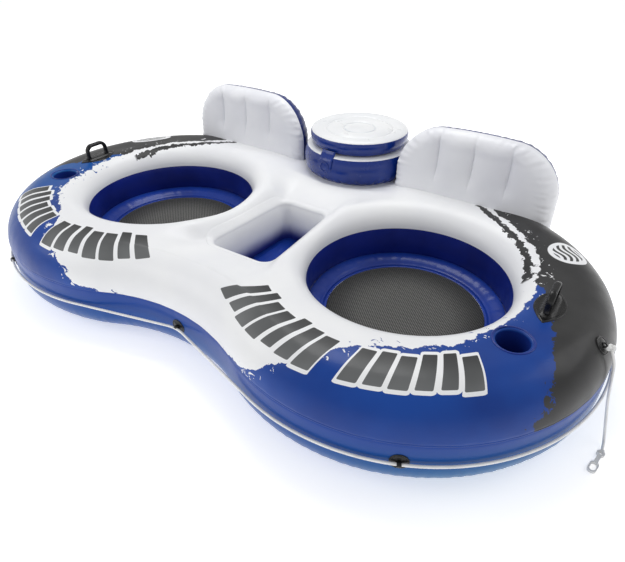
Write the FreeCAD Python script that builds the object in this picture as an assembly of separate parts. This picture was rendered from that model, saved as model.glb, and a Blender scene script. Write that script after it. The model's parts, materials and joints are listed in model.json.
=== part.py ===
"""Two-seat inflatable river lounge: figure-eight hull, mesh seats, backrests, cooler, rope and hook.

Millimetres. +Z is up and z = 0 is the ground. X runs along the hull through both seats, the
riders face -Y, and the origin is under the middle of the float. Welded vinyl film is drawn
3 mm thick so that it can be handled as solids.
"""
import FreeCAD, Part
import math
import os

V = FreeCAD.Vector
UP = V(0, 0, 1)

# Overall size, with the grab rope and its guides
DEPTH = 1570.0
FILM = 3.0
GAP = 0.3

# Hull
LOBE_R = 645.0
SEAT_X = 557.5
HEIGHT = 322.0
TOP_ROUND = 130.0
BOTTOM_ROUND = 105.0
SEAM_Z = HEIGHT - TOP_ROUND
WAIST_REACH = 520.0
COOLER_REACH = 619.0
REAR_FILLET = 250.0

# Rope and its guides
ROPE_D = 8.5
ROPE_Z = 130.0
ROPE_STAND_OFF = 9.5
WAIST_BEND_R = 60.0
GUIDE_ANGLES = (-65.0, 15.0, 65.0)
GUIDE_PATCH_R = 26.0
GUIDE_PATCH_T = 2.5
GUIDE_LOOP_R = 7.5
GUIDE_BORE_R = 5.2
GUIDE_LOOP_LENGTH = 12.0
GUIDE_REACH = ROPE_STAND_OFF + GUIDE_LOOP_R
WAIST_GUIDE_RELIEF = 0.5

FRONT_REACH = LOBE_R + ROPE_STAND_OFF + ROPE_D / 2
BULGE_R = DEPTH - FRONT_REACH - COOLER_REACH - GUIDE_REACH
SEAT_Y = FRONT_REACH - DEPTH / 2
COOLER_Y = SEAT_Y + COOLER_REACH
WAIST_Y = SEAT_Y - WAIST_REACH
WAIST_R = (SEAT_X ** 2 + WAIST_REACH ** 2 - LOBE_R ** 2) / (2 * (LOBE_R - WAIST_REACH))

# Seats
SEAT_R = 340.0
SEAT_TOP_ROLL = 86.0
SEAT_BOTTOM_ROLL = 60.0
MESH_R = 273.0
MESH_Z = 100.0
FLANGE_RISE = 22.0
HEM_WIDTH = 12.0

# Storage well between the seats
WELL_FRONT = -217.0
WELL_BACK = 200.0
WELL_FRONT_HALF = 137.0
WELL_BACK_HALF = 107.0
WELL_CORNER_R = 42.0
WELL_FLOOR_Z = 85.0

# Cup wells
CUP_X = 961.5
CUP_FORWARD = 222.0
CUP_R = 45.0
CUP_DEPTH = 92.0
CUP_FILM = 2.0

# Panels that the hull's sheets and the cooler's tub are drawn as
PANEL_GAP = 0.3
CONSOLE_HALF = 150.0
CONSOLE_BACK = 330.0
CUP_PANEL_ANGLE = 12.0
PANEL_ANGLE = 24.0
PANEL_COUNT = 14
COOLER_PANEL_ANGLE = 45.0
TUB_PANEL_ANGLE = 30.0

# Cooler
LINER_R = 125.0
LINER_FLOOR_Z = 60.0
RING_R = 238.0
RING_TOP = 412.0
RING_ROUND = 36.0
RING_SEAM_Z = 398.0
LID_R = 212.0
LID_TOP = 475.0
LID_TOP_ROUND = 12.0
LID_BOTTOM_ROUND = 20.0
LID_TIE_RADII = (68.0, 132.0)
STRAP_HALF_ANGLE = 13.0
TAB_ANGLE = -96.0
TAB_HALF_WIDTH = 32.0
TAB_T = 3.0
TAB_LOW = 338.0
BUTTON_R = 24.0
BUTTON_Z = 366.0

# Backrests
BACK_Y = SEAT_Y + 556.0
BACK_WIDTH = 636.0
BACK_TOP = 574.0
BACK_BOTTOM = 255.0
BACK_BULGE = 62.0
BACK_CORNER_R = 130.0
BACK_EDGE = 8.0
BACK_SHOULDER = 400.0
BACK_CLEARANCE = 0.5
BACK_OVERRUN = 4.0
TIE_SPACING = 140.0
TIE_LOW = 385.0
TIE_HEIGHT = 155.0
TIE_CLEARANCE = 1.2

# Carry handles
HANDLE_X = 1006.0
HANDLE_Y = SEAT_Y - 20.0
PATCH_LENGTH = 180.0
PATCH_WIDTH = 88.0
GRIP_LENGTH = 108.0
GRIP_HEIGHT = 66.0
GRIP_BAR = 17.0
GRIP_WIDTH = 22.0
FOOT_T = 9.0

# Tail rope and snap hook
ANCHOR_ANGLE = -6.0
ANCHOR_TILT = 45.0
KNOT_R = 9.0
KNOT_LENGTH = 18.0
HOOK_EYE = (1251.5, SEAT_Y - 165.5, 5.0)
HOOK_HEADING = -99.5
HOOK_LENGTH = 78.0
HOOK_OUT_R = 12.0
HOOK_T = 9.0
TAIL_POINTS = (
    (1186.0, SEAT_Y - 68.0, 283.0),
    (1203.0, SEAT_Y - 70.0, 250.0),
    (1211.0, SEAT_Y - 72.0, 200.0),
    (1220.0, SEAT_Y - 80.0, 135.0),
    (1234.0, SEAT_Y - 92.0, 75.0),
    (1247.0, SEAT_Y - 107.0, 21.0),
    (1252.5, SEAT_Y - 127.0, 5.2),
    (1253.0, SEAT_Y - 150.0, 4.8),
)

# Air valves
VALVE_FLANGE_R = 15.0
VALVE_STEM_R = 7.0
VALVE_CAP_R = 9.0
VALVE_BORE_R = 4.8
VALVE_PLUG_R = 3.0
HULL_VALVE_ANGLE = 92.0
HULL_VALVE_TILT = 15.0
RING_VALVE_ANGLE = 50.0
LID_VALVE_ANGLE = 130.0


def direction(degrees):
    """Unit vector in the XY plane."""
    angle = math.radians(degrees)
    return V(math.cos(angle), math.sin(angle), 0)


def heading(vector):
    return math.degrees(math.atan2(vector.y, vector.x))


def mirrored(shape):
    """The same piece on the other side of the float."""
    return shape.mirror(V(0, 0, 0), V(1, 0, 0))


def placed(shape, place, angle=0.0, tilt=0.0):
    """Turn a shape made at the origin: tilt about Y first, then about Z, then move it."""
    turn = FreeCAD.Rotation(UP, angle).multiply(FreeCAD.Rotation(V(0, 1, 0), tilt))
    copy = shape.copy()
    copy.Placement = FreeCAD.Placement(place, turn).multiply(shape.Placement)
    return copy


def save(name, *solids):
    """Write one node: a single solid, or a group of separate ones."""
    bodies = [body for shape in solids for body in shape.Solids]
    shape = bodies[0] if len(bodies) == 1 else Part.makeCompound(bodies)
    if not shape.isValid():
        raise ValueError(name + " is not a valid shape")
    shape.exportStep("parts/" + name + ".step")


def circle_arc(centre, radius, start, end):
    """Arc about +Z from one heading to another, counter-clockwise, in degrees."""
    circle = Part.Circle(centre, UP, radius)
    return Part.ArcOfCircle(circle, math.radians(start), math.radians(end)).toShape()


def circles_meet(centre_a, radius_a, centre_b, radius_b):
    """Meeting point of two circles, on the right of the way from a to b."""
    way = centre_b - centre_a
    along = (radius_a ** 2 - radius_b ** 2 + way.Length ** 2) / (2 * way.Length)
    aside = math.sqrt(radius_a ** 2 - along ** 2)
    way.normalize()
    return centre_a + way * along + V(way.y, -way.x, 0) * aside


def disc(radius, height, base, axis=UP):
    return Part.makeCylinder(radius, height, base, axis)


def tube(outer, inner, height, base, axis=UP):
    return disc(outer, height, base, axis).cut(disc(inner, height, base, axis))


def revolved(points, centre, start=0.0, sweep=360.0):
    """Turn a closed (radius, height) polygon about a vertical axis."""
    corners = [V(radius, 0, height) for radius, height in points]
    face = Part.Face(Part.makePolygon(corners + corners[:1]))
    solid = face.revolve(V(0, 0, 0), UP, sweep)
    return placed(solid, centre, start)


def slab(z_low, z_high, reach=3000.0):
    return Part.makeBox(reach, reach, z_high - z_low, V(-reach / 2, -reach / 2, z_low))


def rounded(solid, radius, chosen):
    """Round the edges for which chosen(edge) is true."""
    return solid.makeFillet(radius, [edge for edge in solid.Edges if chosen(edge)])


def level_edges(solid, z):
    return [edge for edge in solid.Edges
            if abs(edge.BoundBox.ZMin - z) < 1e-4 and abs(edge.BoundBox.ZMax - z) < 1e-4]


# ---------------------------------------------------------------- hull

SEAT = V(SEAT_X, SEAT_Y, 0)
COOLER = V(0, COOLER_Y, 0)
WAIST = V(0, WAIST_Y - WAIST_R, 0)
REAR = circles_meet(SEAT, LOBE_R + REAR_FILLET, COOLER, BULGE_R + REAR_FILLET)


def hull_outline(inset):
    """Plan outline: two lobes, the waist, and the bulge behind the cooler."""
    right = [
        circle_arc(SEAT, LOBE_R - inset, heading(WAIST - SEAT), heading(REAR - SEAT)),
        circle_arc(REAR, REAR_FILLET + inset, heading(COOLER - REAR), heading(SEAT - REAR)),
    ]
    left = [mirrored(edge) for edge in right]
    waist = circle_arc(WAIST, WAIST_R + inset, heading(SEAT - WAIST), 180 - heading(SEAT - WAIST))
    bulge = circle_arc(COOLER, BULGE_R - inset, heading(REAR - COOLER), 180 - heading(REAR - COOLER))
    return Part.Wire(Part.__sortEdges__(right + left + [waist, bulge]))


def hull_blank(inset):
    """The hull before its openings, with every face moved in by the inset."""
    block = Part.Face(hull_outline(inset)).extrude(V(0, 0, HEIGHT - 2 * inset))
    block.translate(V(0, 0, inset))
    block = block.makeFillet(TOP_ROUND - inset, level_edges(block, HEIGHT - inset))
    return block.makeFillet(BOTTOM_ROUND - inset, level_edges(block, inset))


def hull_body(inset):
    """The hull with its two seat openings, rolled over above and below."""
    opening = disc(SEAT_R + inset, 2 * HEIGHT, SEAT - V(0, 0, HEIGHT / 2))
    body = hull_blank(inset).cut(opening).cut(mirrored(opening))
    for z, roll in ((HEIGHT - inset, SEAT_TOP_ROLL), (inset, SEAT_BOTTOM_ROLL)):
        rims = [edge for edge in level_edges(body, z)
                if abs(edge.Curve.Radius - SEAT_R - inset) < 1e-3]
        body = body.makeFillet(roll - inset, rims)
    return body


def well_outline(offset):
    """Storage well outline, a trapezoid with round corners, moved out by the offset."""
    lean = math.hypot(WELL_FRONT_HALF - WELL_BACK_HALF, WELL_BACK - WELL_FRONT)
    widen = offset * lean / (WELL_BACK - WELL_FRONT)
    slope = (WELL_FRONT_HALF - WELL_BACK_HALF) / (WELL_BACK - WELL_FRONT)
    front = SEAT_Y + WELL_FRONT - offset
    back = SEAT_Y + WELL_BACK + offset
    front_half = WELL_FRONT_HALF + widen + slope * offset
    back_half = WELL_BACK_HALF + widen - slope * offset
    corners = [V(-front_half, front, 0), V(front_half, front, 0), V(back_half, back, 0),
               V(-back_half, back, 0), V(-front_half, front, 0)]
    return Part.Face(Part.makePolygon(corners))


def well_prism(offset, z_low, z_high):
    prism = well_outline(offset).extrude(V(0, 0, z_high - z_low))
    prism.translate(V(0, 0, z_low))
    return rounded(prism, WELL_CORNER_R + offset,
                   lambda edge: edge.BoundBox.ZLength > 0.9 * (z_high - z_low))


CUP = V(CUP_X, SEAT_Y - CUP_FORWARD, 0)


def upright_plate(start, end, place, angle):
    """Thin upright plate, taller than the cooler, from start to end along a heading."""
    plate = Part.makeBox(end - start, PANEL_GAP, LID_TOP, V(start, -PANEL_GAP / 2, -1))
    return placed(plate, place, angle)


def lobe_cuts():
    """Plates between the panels of the right lobe: rays from the seat, and one across the cup."""
    cup_angle = heading(CUP - SEAT)
    cup_reach = (CUP - SEAT).Length
    angles = [cup_angle - CUP_PANEL_ANGLE, cup_angle]
    angles += [cup_angle + CUP_PANEL_ANGLE + PANEL_ANGLE * step for step in range(PANEL_COUNT)]
    rays = [upright_plate(SEAT_R - 10, 2 * LOBE_R, SEAT, angle) for angle in angles]
    console = Part.makeBox(4 * LOBE_R, 2 * DEPTH, 2 * HEIGHT, V(CONSOLE_HALF - 4 * LOBE_R, -DEPTH, -2))
    rays = [ray.cut(console) for ray in rays]
    half = cup_reach * math.tan(math.radians(CUP_PANEL_ANGLE))
    rays.append(upright_plate(-half, half, CUP, cup_angle + 90))
    return rays


def cup_cuts():
    """Two more plates through the right cup, so that the deck is in eight panels round it."""
    cup_angle = heading(CUP - SEAT)
    lean = math.tan(math.radians(CUP_PANEL_ANGLE))
    reach = (CUP - SEAT).Length * lean * math.sqrt(2)
    inner, outer = reach / (1 + lean), reach / (1 - lean)
    return [upright_plate(-inner - 1, outer + 1, CUP, cup_angle + turn) for turn in (-45, 45)]


def console_cuts():
    """Plates between the panels round the storage well, and round the cooler behind it."""
    front = SEAT_Y + WELL_FRONT + WELL_CORNER_R
    back = SEAT_Y + WELL_BACK - WELL_CORNER_R
    cuts = [upright_plate(-CONSOLE_HALF, CONSOLE_HALF, V(0, y, 0), 0) for y in (front, back, CONSOLE_BACK)]
    for side in (-1, 1):
        cuts.append(upright_plate(-DEPTH, DEPTH, V(side * CONSOLE_HALF, 0, 0), 90))
        x_front = side * (WELL_FRONT_HALF - WELL_CORNER_R)
        x_back = side * (WELL_BACK_HALF - WELL_CORNER_R)
        cuts.append(upright_plate(-DEPTH, front, V(x_front, 0, 0), 90))
        cuts.append(upright_plate(back, CONSOLE_BACK, V(x_back, 0, 0), 90))
    behind = Part.makeBox(2 * CONSOLE_HALF, DEPTH, 2 * HEIGHT, V(-CONSOLE_HALF, CONSOLE_BACK, -2))
    for step in range(int(360 / COOLER_PANEL_ANGLE)):
        ray = upright_plate(LINER_R - 10, DEPTH, COOLER, step * COOLER_PANEL_ANGLE)
        cuts.append(ray.common(behind))
    return cuts


def in_panels(sheet, more_cuts=()):
    """A sheet of the hull as panels that meet edge to edge, each simple enough to stay convex inside."""
    right = lobe_cuts() + list(more_cuts)
    return sheet.cut(right + [mirrored(plate) for plate in right] + console_cuts())


def hull_sheets():
    """Split the skin into its top and bottom sheets at the seam, without the seat walls."""
    skin = hull_body(0).cut(hull_body(FILM))
    wall_cutter = disc(SEAT_R + FILM + 1, HEIGHT - SEAT_TOP_ROLL - SEAT_BOTTOM_ROLL,
                       SEAT + V(0, 0, SEAT_BOTTOM_ROLL))
    for cutter in (wall_cutter, mirrored(wall_cutter)):
        skin = skin.cut(cutter)
    top = skin.common(slab(SEAM_Z, HEIGHT + 1))
    bottom = skin.common(slab(-1, SEAM_Z))
    cup_hole = disc(CUP_R, 40, CUP + V(0, 0, HEIGHT - 20))
    liner_hole = disc(LINER_R + FILM + GAP, 40, COOLER + V(0, 0, HEIGHT - 20))
    openings = [cup_hole, mirrored(cup_hole), liner_hole, well_prism(0, HEIGHT - 20, HEIGHT + 20)]
    for opening in openings:
        top = top.cut(opening)
    return in_panels(top, cup_cuts()), in_panels(bottom)


def seam_tape():
    """Welded tape inside the hull, behind the seam between its two sheets."""
    def band(inset):
        face = Part.Face(hull_outline(inset))
        return face.extrude(V(0, 0, 30))
    tape = band(FILM + GAP).cut(band(FILM + GAP + 2.0))
    tape.translate(V(0, 0, SEAM_Z - 32))
    return tape


def chamber_dividers():
    """Upright film on the centre line that parts the left and right air chambers."""
    inside = hull_blank(2 * FILM + 1)
    plate = Part.makeBox(FILM, DEPTH, HEIGHT, V(-FILM / 2, -DEPTH / 2, 0)).common(inside)
    plate = plate.cut(well_prism(FILM + 1, 0, HEIGHT))
    return plate.cut(disc(LINER_R + FILM + 1, HEIGHT, COOLER))


def console_webs():
    """Four upright webs that hold the deck flat in front of and behind the storage well."""
    webs = []
    for y in (SEAT_Y + WELL_FRONT - 70, SEAT_Y + WELL_BACK + 60):
        for x in (-150.0, 20.0):
            height = HEIGHT - 2 * (FILM + 1)
            webs.append(Part.makeBox(130, FILM, height, V(x, y, FILM + 1)))
    return webs


def seat_parts():
    """Seat wall, the flange below it, the mesh floor and the hem that binds the mesh."""
    wall = tube(SEAT_R + FILM, SEAT_R, HEIGHT - SEAT_TOP_ROLL - SEAT_BOTTOM_ROLL,
                SEAT + V(0, 0, SEAT_BOTTOM_ROLL))
    inner = MESH_R
    outer = SEAT_R - GAP
    low = MESH_Z + GAP
    flange = revolved([(inner, low), (outer, low + FLANGE_RISE), (outer, low + FLANGE_RISE + FILM),
                       (inner, low + FILM)], SEAT)
    mesh = disc(MESH_R, FILM, SEAT + V(0, 0, MESH_Z - FILM))
    hem = tube(MESH_R + HEM_WIDTH, MESH_R + GAP, FILM, SEAT + V(0, 0, MESH_Z - FILM))
    return {"seat_wall": wall, "seat_flange": flange, "seat_mesh": mesh, "mesh_hem": hem}


def storage_parts():
    outer = well_prism(FILM, WELL_FLOOR_Z - FILM, HEIGHT - FILM)
    wall = outer.cut(well_prism(0, WELL_FLOOR_Z - 2 * FILM, HEIGHT))
    floor = well_prism(-GAP, WELL_FLOOR_Z - FILM, WELL_FLOOR_Z)
    return wall, floor


def cup_well():
    """Soft cup that hangs from the top sheet."""
    shell = disc(CUP_R + CUP_FILM, CUP_DEPTH, CUP + V(0, 0, HEIGHT - CUP_DEPTH))
    shell = shell.cut(disc(CUP_R, CUP_DEPTH, CUP + V(0, 0, HEIGHT - CUP_DEPTH + CUP_FILM)))
    return shell.cut(slab(HEIGHT - FILM - 1.2, HEIGHT + 1))


# ---------------------------------------------------------------- cooler

def soft_ring(inner, outer, low, high, round_outer, round_inner):
    """A ring of rectangular section with rounded edges; inner may be 0 for a disc."""
    solid = disc(outer, high - low, COOLER + V(0, 0, low))
    edges = level_edges(solid, high)
    solid = solid.makeFillet(round_outer[1], edges)
    solid = solid.makeFillet(round_outer[0], level_edges(solid, low))
    if inner > 0:
        solid = solid.cut(disc(inner, high - low, COOLER + V(0, 0, low)))
        inner_edges = [edge for edge in level_edges(solid, low) + level_edges(solid, high)
                       if abs(edge.Curve.Radius - inner) < 1e-3]
        solid = solid.makeFillet(round_inner, inner_edges)
    return solid


def tub_panels(ring):
    """A part that goes round the cooler, as panels that meet edge to edge."""
    rays = [upright_plate(LINER_R - 10, RING_R + 10, COOLER, step * TUB_PANEL_ANGLE)
            for step in range(int(360 / TUB_PANEL_ANGLE))]
    return ring.cut(rays)


def cooler_ring():
    """Inflated ring round the top of the cooler: its side and its top sheet."""
    low = HEIGHT + GAP
    inner = LINER_R + FILM + GAP
    outside = soft_ring(inner, RING_R, low, RING_TOP, (RING_ROUND, RING_ROUND), 10.0)
    inside = soft_ring(inner + FILM, RING_R - FILM, low + FILM, RING_TOP - FILM,
                       (RING_ROUND - FILM, RING_ROUND - FILM), 10.0 - FILM)
    skin = outside.cut(inside)
    side = skin.common(slab(0, RING_SEAM_Z))
    top = skin.common(slab(RING_SEAM_Z, LID_TOP))
    return tub_panels(side), tub_panels(top)


def cooler_liner():
    wall = tube(LINER_R + FILM, LINER_R, RING_TOP - LINER_FLOOR_Z, COOLER + V(0, 0, LINER_FLOOR_Z))
    floor = disc(LINER_R - GAP, FILM, COOLER + V(0, 0, LINER_FLOOR_Z))
    return tub_panels(wall), floor


def lid_parts():
    """Inflated lid: top panel, side band, bottom panel and the round ties inside it."""
    low = RING_TOP + 0.5
    outside = soft_ring(0, LID_R, low, LID_TOP, (LID_BOTTOM_ROUND, LID_TOP_ROUND), 0)
    inside = soft_ring(0, LID_R - FILM, low + FILM, LID_TOP - FILM,
                       (LID_BOTTOM_ROUND - FILM, LID_TOP_ROUND - FILM), 0)
    skin = outside.cut(inside)
    upper = LID_TOP - LID_TOP_ROUND
    lower = low + LID_BOTTOM_ROUND
    ties = [tube(radius, radius - 2, LID_TOP - low - 2 * FILM - 1, COOLER + V(0, 0, low + FILM + 0.5))
            for radius in LID_TIE_RADII]
    return {"lid_top_panel": [skin.common(slab(upper, LID_TOP + 1))],
            "lid_side_band": [skin.common(slab(lower, upper))],
            "lid_bottom_panel": [skin.common(slab(0, lower))],
            "lid_tie_rings": ties}


def lid_strap():
    """Hinge strap behind the lid, as the leaf welded to the ring and the leaf on the lid."""
    start = 90 - STRAP_HALF_ANGLE
    sweep = 2 * STRAP_HALF_ANGLE
    thick = 2.0
    ring_face = RING_R + GAP
    lid_face = LID_R + GAP
    lower = [(ring_face, 352), (ring_face + thick, 352), (ring_face + thick, 394),
             (lid_face + 6 + thick, 412), (lid_face + 6, 412), (ring_face, 390)]
    upper = [(lid_face, 436), (lid_face + thick, 436), (lid_face + thick, 458), (lid_face, 458)]
    return revolved(lower, COOLER, start, sweep), revolved(upper, COOLER, start, sweep)


def lid_tab():
    """Pull tab that hangs from the lid over the ring, and its round fastener with its mate."""
    face = RING_R + 3.2
    top_r = LID_R + 2.5
    profile = [V(top_r, 0, 428), V(top_r + TAB_T, 0, 428), V(face + TAB_T, 0, 394),
               V(face + TAB_T, 0, TAB_LOW), V(face, 0, TAB_LOW), V(face, 0, 393), V(top_r, 0, 424)]
    section = Part.Face(Part.makePolygon(profile + profile[:1]))
    section.translate(V(0, -TAB_HALF_WIDTH, 0))
    strap = section.extrude(V(0, 2 * TAB_HALF_WIDTH, 0))
    strap = rounded(strap, TAB_HALF_WIDTH - 1,
                    lambda edge: abs(edge.BoundBox.ZMax - TAB_LOW) < 1e-3
                    and edge.BoundBox.YLength < 1e-3)
    button = tube(BUTTON_R, BUTTON_R - 5, 2, V(face + TAB_T, 0, BUTTON_Z), V(1, 0, 0))
    mate = disc(BUTTON_R - 4, 1.6, V(RING_R + GAP, 0, BUTTON_Z), V(1, 0, 0))
    return [placed(piece, COOLER, TAB_ANGLE) for piece in (strap, button, mate)]


# ---------------------------------------------------------------- backrests

def lens(half_width, bulge, edge, height, z_low):
    """Upright prism whose plan is two arcs that meet in narrow edges."""
    arcs = []
    for side in (-1, 1):
        start = V(-half_width, side * edge / 2, 0)
        middle = V(0, side * bulge, 0)
        end = V(half_width, side * edge / 2, 0)
        arcs.append(Part.Arc(start, middle, end).toShape())
    ends = [Part.makeLine(V(x, -edge / 2, 0), V(x, edge / 2, 0)) for x in (-half_width, half_width)]
    face = Part.Face(Part.Wire(Part.__sortEdges__(arcs + ends)))
    solid = face.extrude(V(0, 0, height))
    solid.translate(V(0, 0, z_low))
    return solid


def side_profile(bulge, edge, low, shoulder, top, half):
    """Prism along X with upright sides up to the shoulder and arcs that close at the top."""
    curves = []
    for side in (-1, 1):
        foot = V(0, side * bulge, low)
        turn = V(0, side * bulge, shoulder)
        crown = V(0, side * edge / 2, top)
        belly = V(0, side * (bulge * 0.79 + edge * 0.1), shoulder + 0.62 * (top - shoulder))
        curves += [Part.makeLine(foot, turn), Part.Arc(turn, belly, crown).toShape()]
    curves.append(Part.makeLine(V(0, -bulge, low), V(0, bulge, low)))
    curves.append(Part.makeLine(V(0, -edge / 2, top), V(0, edge / 2, top)))
    solid = Part.Face(Part.Wire(Part.__sortEdges__(curves))).extrude(V(2 * half, 0, 0))
    solid.translate(V(-half, 0, 0))
    return solid


def backrest_body(inset):
    """Pillow of one backrest about its own middle, before the hull is cut from it."""
    half = BACK_WIDTH / 2 - inset
    bulge = BACK_BULGE - inset
    edge = BACK_EDGE - 2 * inset
    top = BACK_TOP - inset
    low = BACK_BOTTOM + inset
    overrun = BACK_OVERRUN
    pillow = lens(half + overrun, bulge, edge, top - low + 2 * overrun, low - overrun)
    front_view = Part.makeBox(2 * half, 4 * bulge, top - low, V(-half, -2 * bulge, low))
    front_view = rounded(front_view, BACK_CORNER_R - inset,
                         lambda e: abs(e.BoundBox.ZMin - top) < 1e-4 and e.BoundBox.XLength < 1e-4)
    side_view = side_profile(bulge + overrun, edge, low - overrun, BACK_SHOULDER, top + overrun,
                             half + overrun)
    return pillow.common(front_view).common(side_view)


def backrest_parts():
    """Front panel, rear panel and the three ties that make the grooves of the front."""
    place = V(SEAT_X, BACK_Y, 0)
    outside = placed(backrest_body(0), place).cut(hull_body(-BACK_CLEARANCE))
    inside = placed(backrest_body(FILM), place).cut(hull_body(-BACK_CLEARANCE - FILM))
    skin = outside.cut(inside)
    front_half = Part.makeBox(2 * BACK_WIDTH, 400, 400, V(SEAT_X - BACK_WIDTH, BACK_Y - 400, 200))
    front = skin.common(front_half)
    rear = skin.cut(front_half)
    ties = []
    for step in (-1, 0, 1):
        tie = Part.makeBox(2, 300, TIE_HEIGHT, V(SEAT_X + step * TIE_SPACING - 1, BACK_Y - 150, TIE_LOW))
        ties.append(tie.common(placed(backrest_body(FILM + TIE_CLEARANCE), place)))
    return front, rear, ties


# ---------------------------------------------------------------- handles, rope and hook

def leaf(length, width, thick):
    """Flat patch with two pointed ends, long way along Y."""
    arcs = []
    for side in (-1, 1):
        arcs.append(Part.Arc(V(0, -length / 2, 0), V(side * width / 2, 0, 0), V(0, length / 2, 0)).toShape())
    return Part.Face(Part.Wire(arcs)).extrude(V(0, 0, thick))


def handle_parts():
    """Moulded grip loop on its patch."""
    base_z = HEIGHT + GAP
    patch = leaf(PATCH_LENGTH, PATCH_WIDTH, FILM)
    patch.translate(V(HANDLE_X, HANDLE_Y, base_z))
    grip_z = base_z + FILM
    corner = V(HANDLE_X - GRIP_WIDTH / 2, HANDLE_Y - GRIP_LENGTH / 2, grip_z)
    grip = Part.makeBox(GRIP_WIDTH, GRIP_LENGTH, GRIP_HEIGHT, corner)
    grip = rounded(grip, 30, lambda e: e.BoundBox.XLength > GRIP_WIDTH - 1
                   and e.BoundBox.ZMin > grip_z + GRIP_HEIGHT - 1)
    opening = Part.makeBox(2 * GRIP_WIDTH, GRIP_LENGTH - 2 * GRIP_BAR, GRIP_HEIGHT - GRIP_BAR - FOOT_T,
                           V(HANDLE_X - GRIP_WIDTH, HANDLE_Y - GRIP_LENGTH / 2 + GRIP_BAR, grip_z + FOOT_T))
    opening = rounded(opening, 14, lambda e: e.BoundBox.XLength > GRIP_WIDTH)
    return patch, grip.cut(opening)


def rope_guide(surface, outward):
    """Round patch welded on the hull's side with a moulded loop across it for the rope."""
    along = heading(outward) + 90
    patch = disc(GUIDE_PATCH_R, GUIDE_PATCH_T, V(GAP, 0, 0), V(1, 0, 0))
    loop_base = V(ROPE_STAND_OFF, -GUIDE_LOOP_LENGTH / 2, 0)
    loop = disc(GUIDE_LOOP_R, GUIDE_LOOP_LENGTH, loop_base, V(0, 1, 0))
    foot = Part.makeBox(ROPE_STAND_OFF - GAP - 1, GUIDE_LOOP_LENGTH, 2 * GUIDE_LOOP_R,
                        V(GAP + 1, -GUIDE_LOOP_LENGTH / 2, -GUIDE_LOOP_R))
    bore = disc(GUIDE_BORE_R, 4 * GUIDE_LOOP_LENGTH, loop_base - V(0, 2 * GUIDE_LOOP_LENGTH, 0), V(0, 1, 0))
    fitting = patch.fuse([loop, foot]).cut(bore).removeSplitter()
    return placed(fitting, surface, along - 90)


def rope_guides():
    """Eight guides: three in front, one at each side, and three behind."""
    guides = []
    for angle in GUIDE_ANGLES:
        out = direction(angle)
        right = rope_guide(SEAT + out * LOBE_R + V(0, 0, ROPE_Z), out)
        guides += [right, mirrored(right)]
    guides.append(rope_guide(V(0, WAIST_Y - WAIST_GUIDE_RELIEF, ROPE_Z), V(0, -1, 0)))
    guides.append(rope_guide(V(0, COOLER_Y + BULGE_R, ROPE_Z), V(0, 1, 0)))
    return guides


def outer_tangent(centre_a, radius_a, centre_b, radius_b):
    """Ends of the straight that touches both circles on the right of the way from a to b."""
    way = centre_b - centre_a
    lean = math.degrees(math.acos((radius_a - radius_b) / way.Length))
    normal = direction(heading(way) - lean)
    return centre_a + normal * radius_a, centre_b + normal * radius_b


def grab_rope():
    """Closed rope, tight round the lobes and the bulge and drawn in to the waist guide."""
    radius = LOBE_R + ROPE_STAND_OFF
    bulge_radius = BULGE_R + ROPE_STAND_OFF
    level = V(0, 0, ROPE_Z)
    seat = SEAT + level
    cooler = COOLER + level
    lobe_rear, bulge_side = outer_tangent(seat, radius, cooler, bulge_radius)
    bend = V(0, WAIST_Y - ROPE_STAND_OFF - WAIST_BEND_R, ROPE_Z)
    way = bend - seat
    lean = math.degrees(math.acos((radius + WAIST_BEND_R) / way.Length))
    normal = direction(heading(way) + lean)
    lobe_front = seat + normal * radius
    bend_side = bend - normal * WAIST_BEND_R
    right = [
        circle_arc(seat, radius, heading(normal), heading(lobe_rear - seat)),
        Part.makeLine(lobe_rear, bulge_side),
        Part.makeLine(bend_side, lobe_front),
    ]
    left = [mirrored(edge) for edge in right]
    bulge_start = heading(bulge_side - cooler)
    bend_start = heading(-normal)
    arcs = [circle_arc(cooler, bulge_radius, bulge_start, 180 - bulge_start),
            circle_arc(bend, WAIST_BEND_R, bend_start, 180 - bend_start)]
    pieces = [rope_piece(edge) for edge in right + left + arcs]
    return pieces[0].fuse(pieces[1:]).removeSplitter()


def rope_piece(edge):
    """A round rope along one straight or arc."""
    start = edge.valueAt(edge.FirstParameter)
    along = edge.tangentAt(edge.FirstParameter)
    section = Part.Wire(Part.makeCircle(ROPE_D / 2, start, along))
    return Part.Wire([edge]).makePipeShell([section], True, False)


def cord_route(points):
    """Straight runs joined by tangent arcs, each as large as its two runs allow."""
    corners = [V(*point) for point in points]
    edges = []
    start = corners[0]
    for before, corner, after in zip(corners, corners[1:], corners[2:]):
        back = before - corner
        ahead = after - corner
        trim = 0.45 * min(back.Length, ahead.Length)
        back.normalize()
        ahead.normalize()
        half_turn = (math.pi - back.getAngle(ahead)) / 2
        radius = trim / math.tan(half_turn)
        print("tail rope: turn %.0f degrees, radius %.0f mm" % (math.degrees(2 * half_turn), radius))
        toward = back + ahead
        toward.normalize()
        middle = corner + toward * (radius / math.cos(half_turn) - radius)
        edges.append(Part.makeLine(start, corner + back * trim))
        edges.append(Part.Arc(corner + back * trim, middle, corner + ahead * trim).toShape())
        start = corner + ahead * trim
    edges.append(Part.makeLine(start, corners[-1]))
    return Part.Wire(edges)


def tail_rope():
    route = cord_route(TAIL_POINTS)
    first = V(*TAIL_POINTS[0])
    along = V(*TAIL_POINTS[1]) - first
    section = Part.Wire(Part.makeCircle(ROPE_D / 2, first, along))
    rope = route.makePipeShell([section], True, False, 1)
    expected = route.Length * math.pi * ROPE_D ** 2 / 4
    print("tail rope: length %.0f mm, volume %.4f of section times length"
          % (route.Length, rope.Volume / expected))
    return rope


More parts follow.
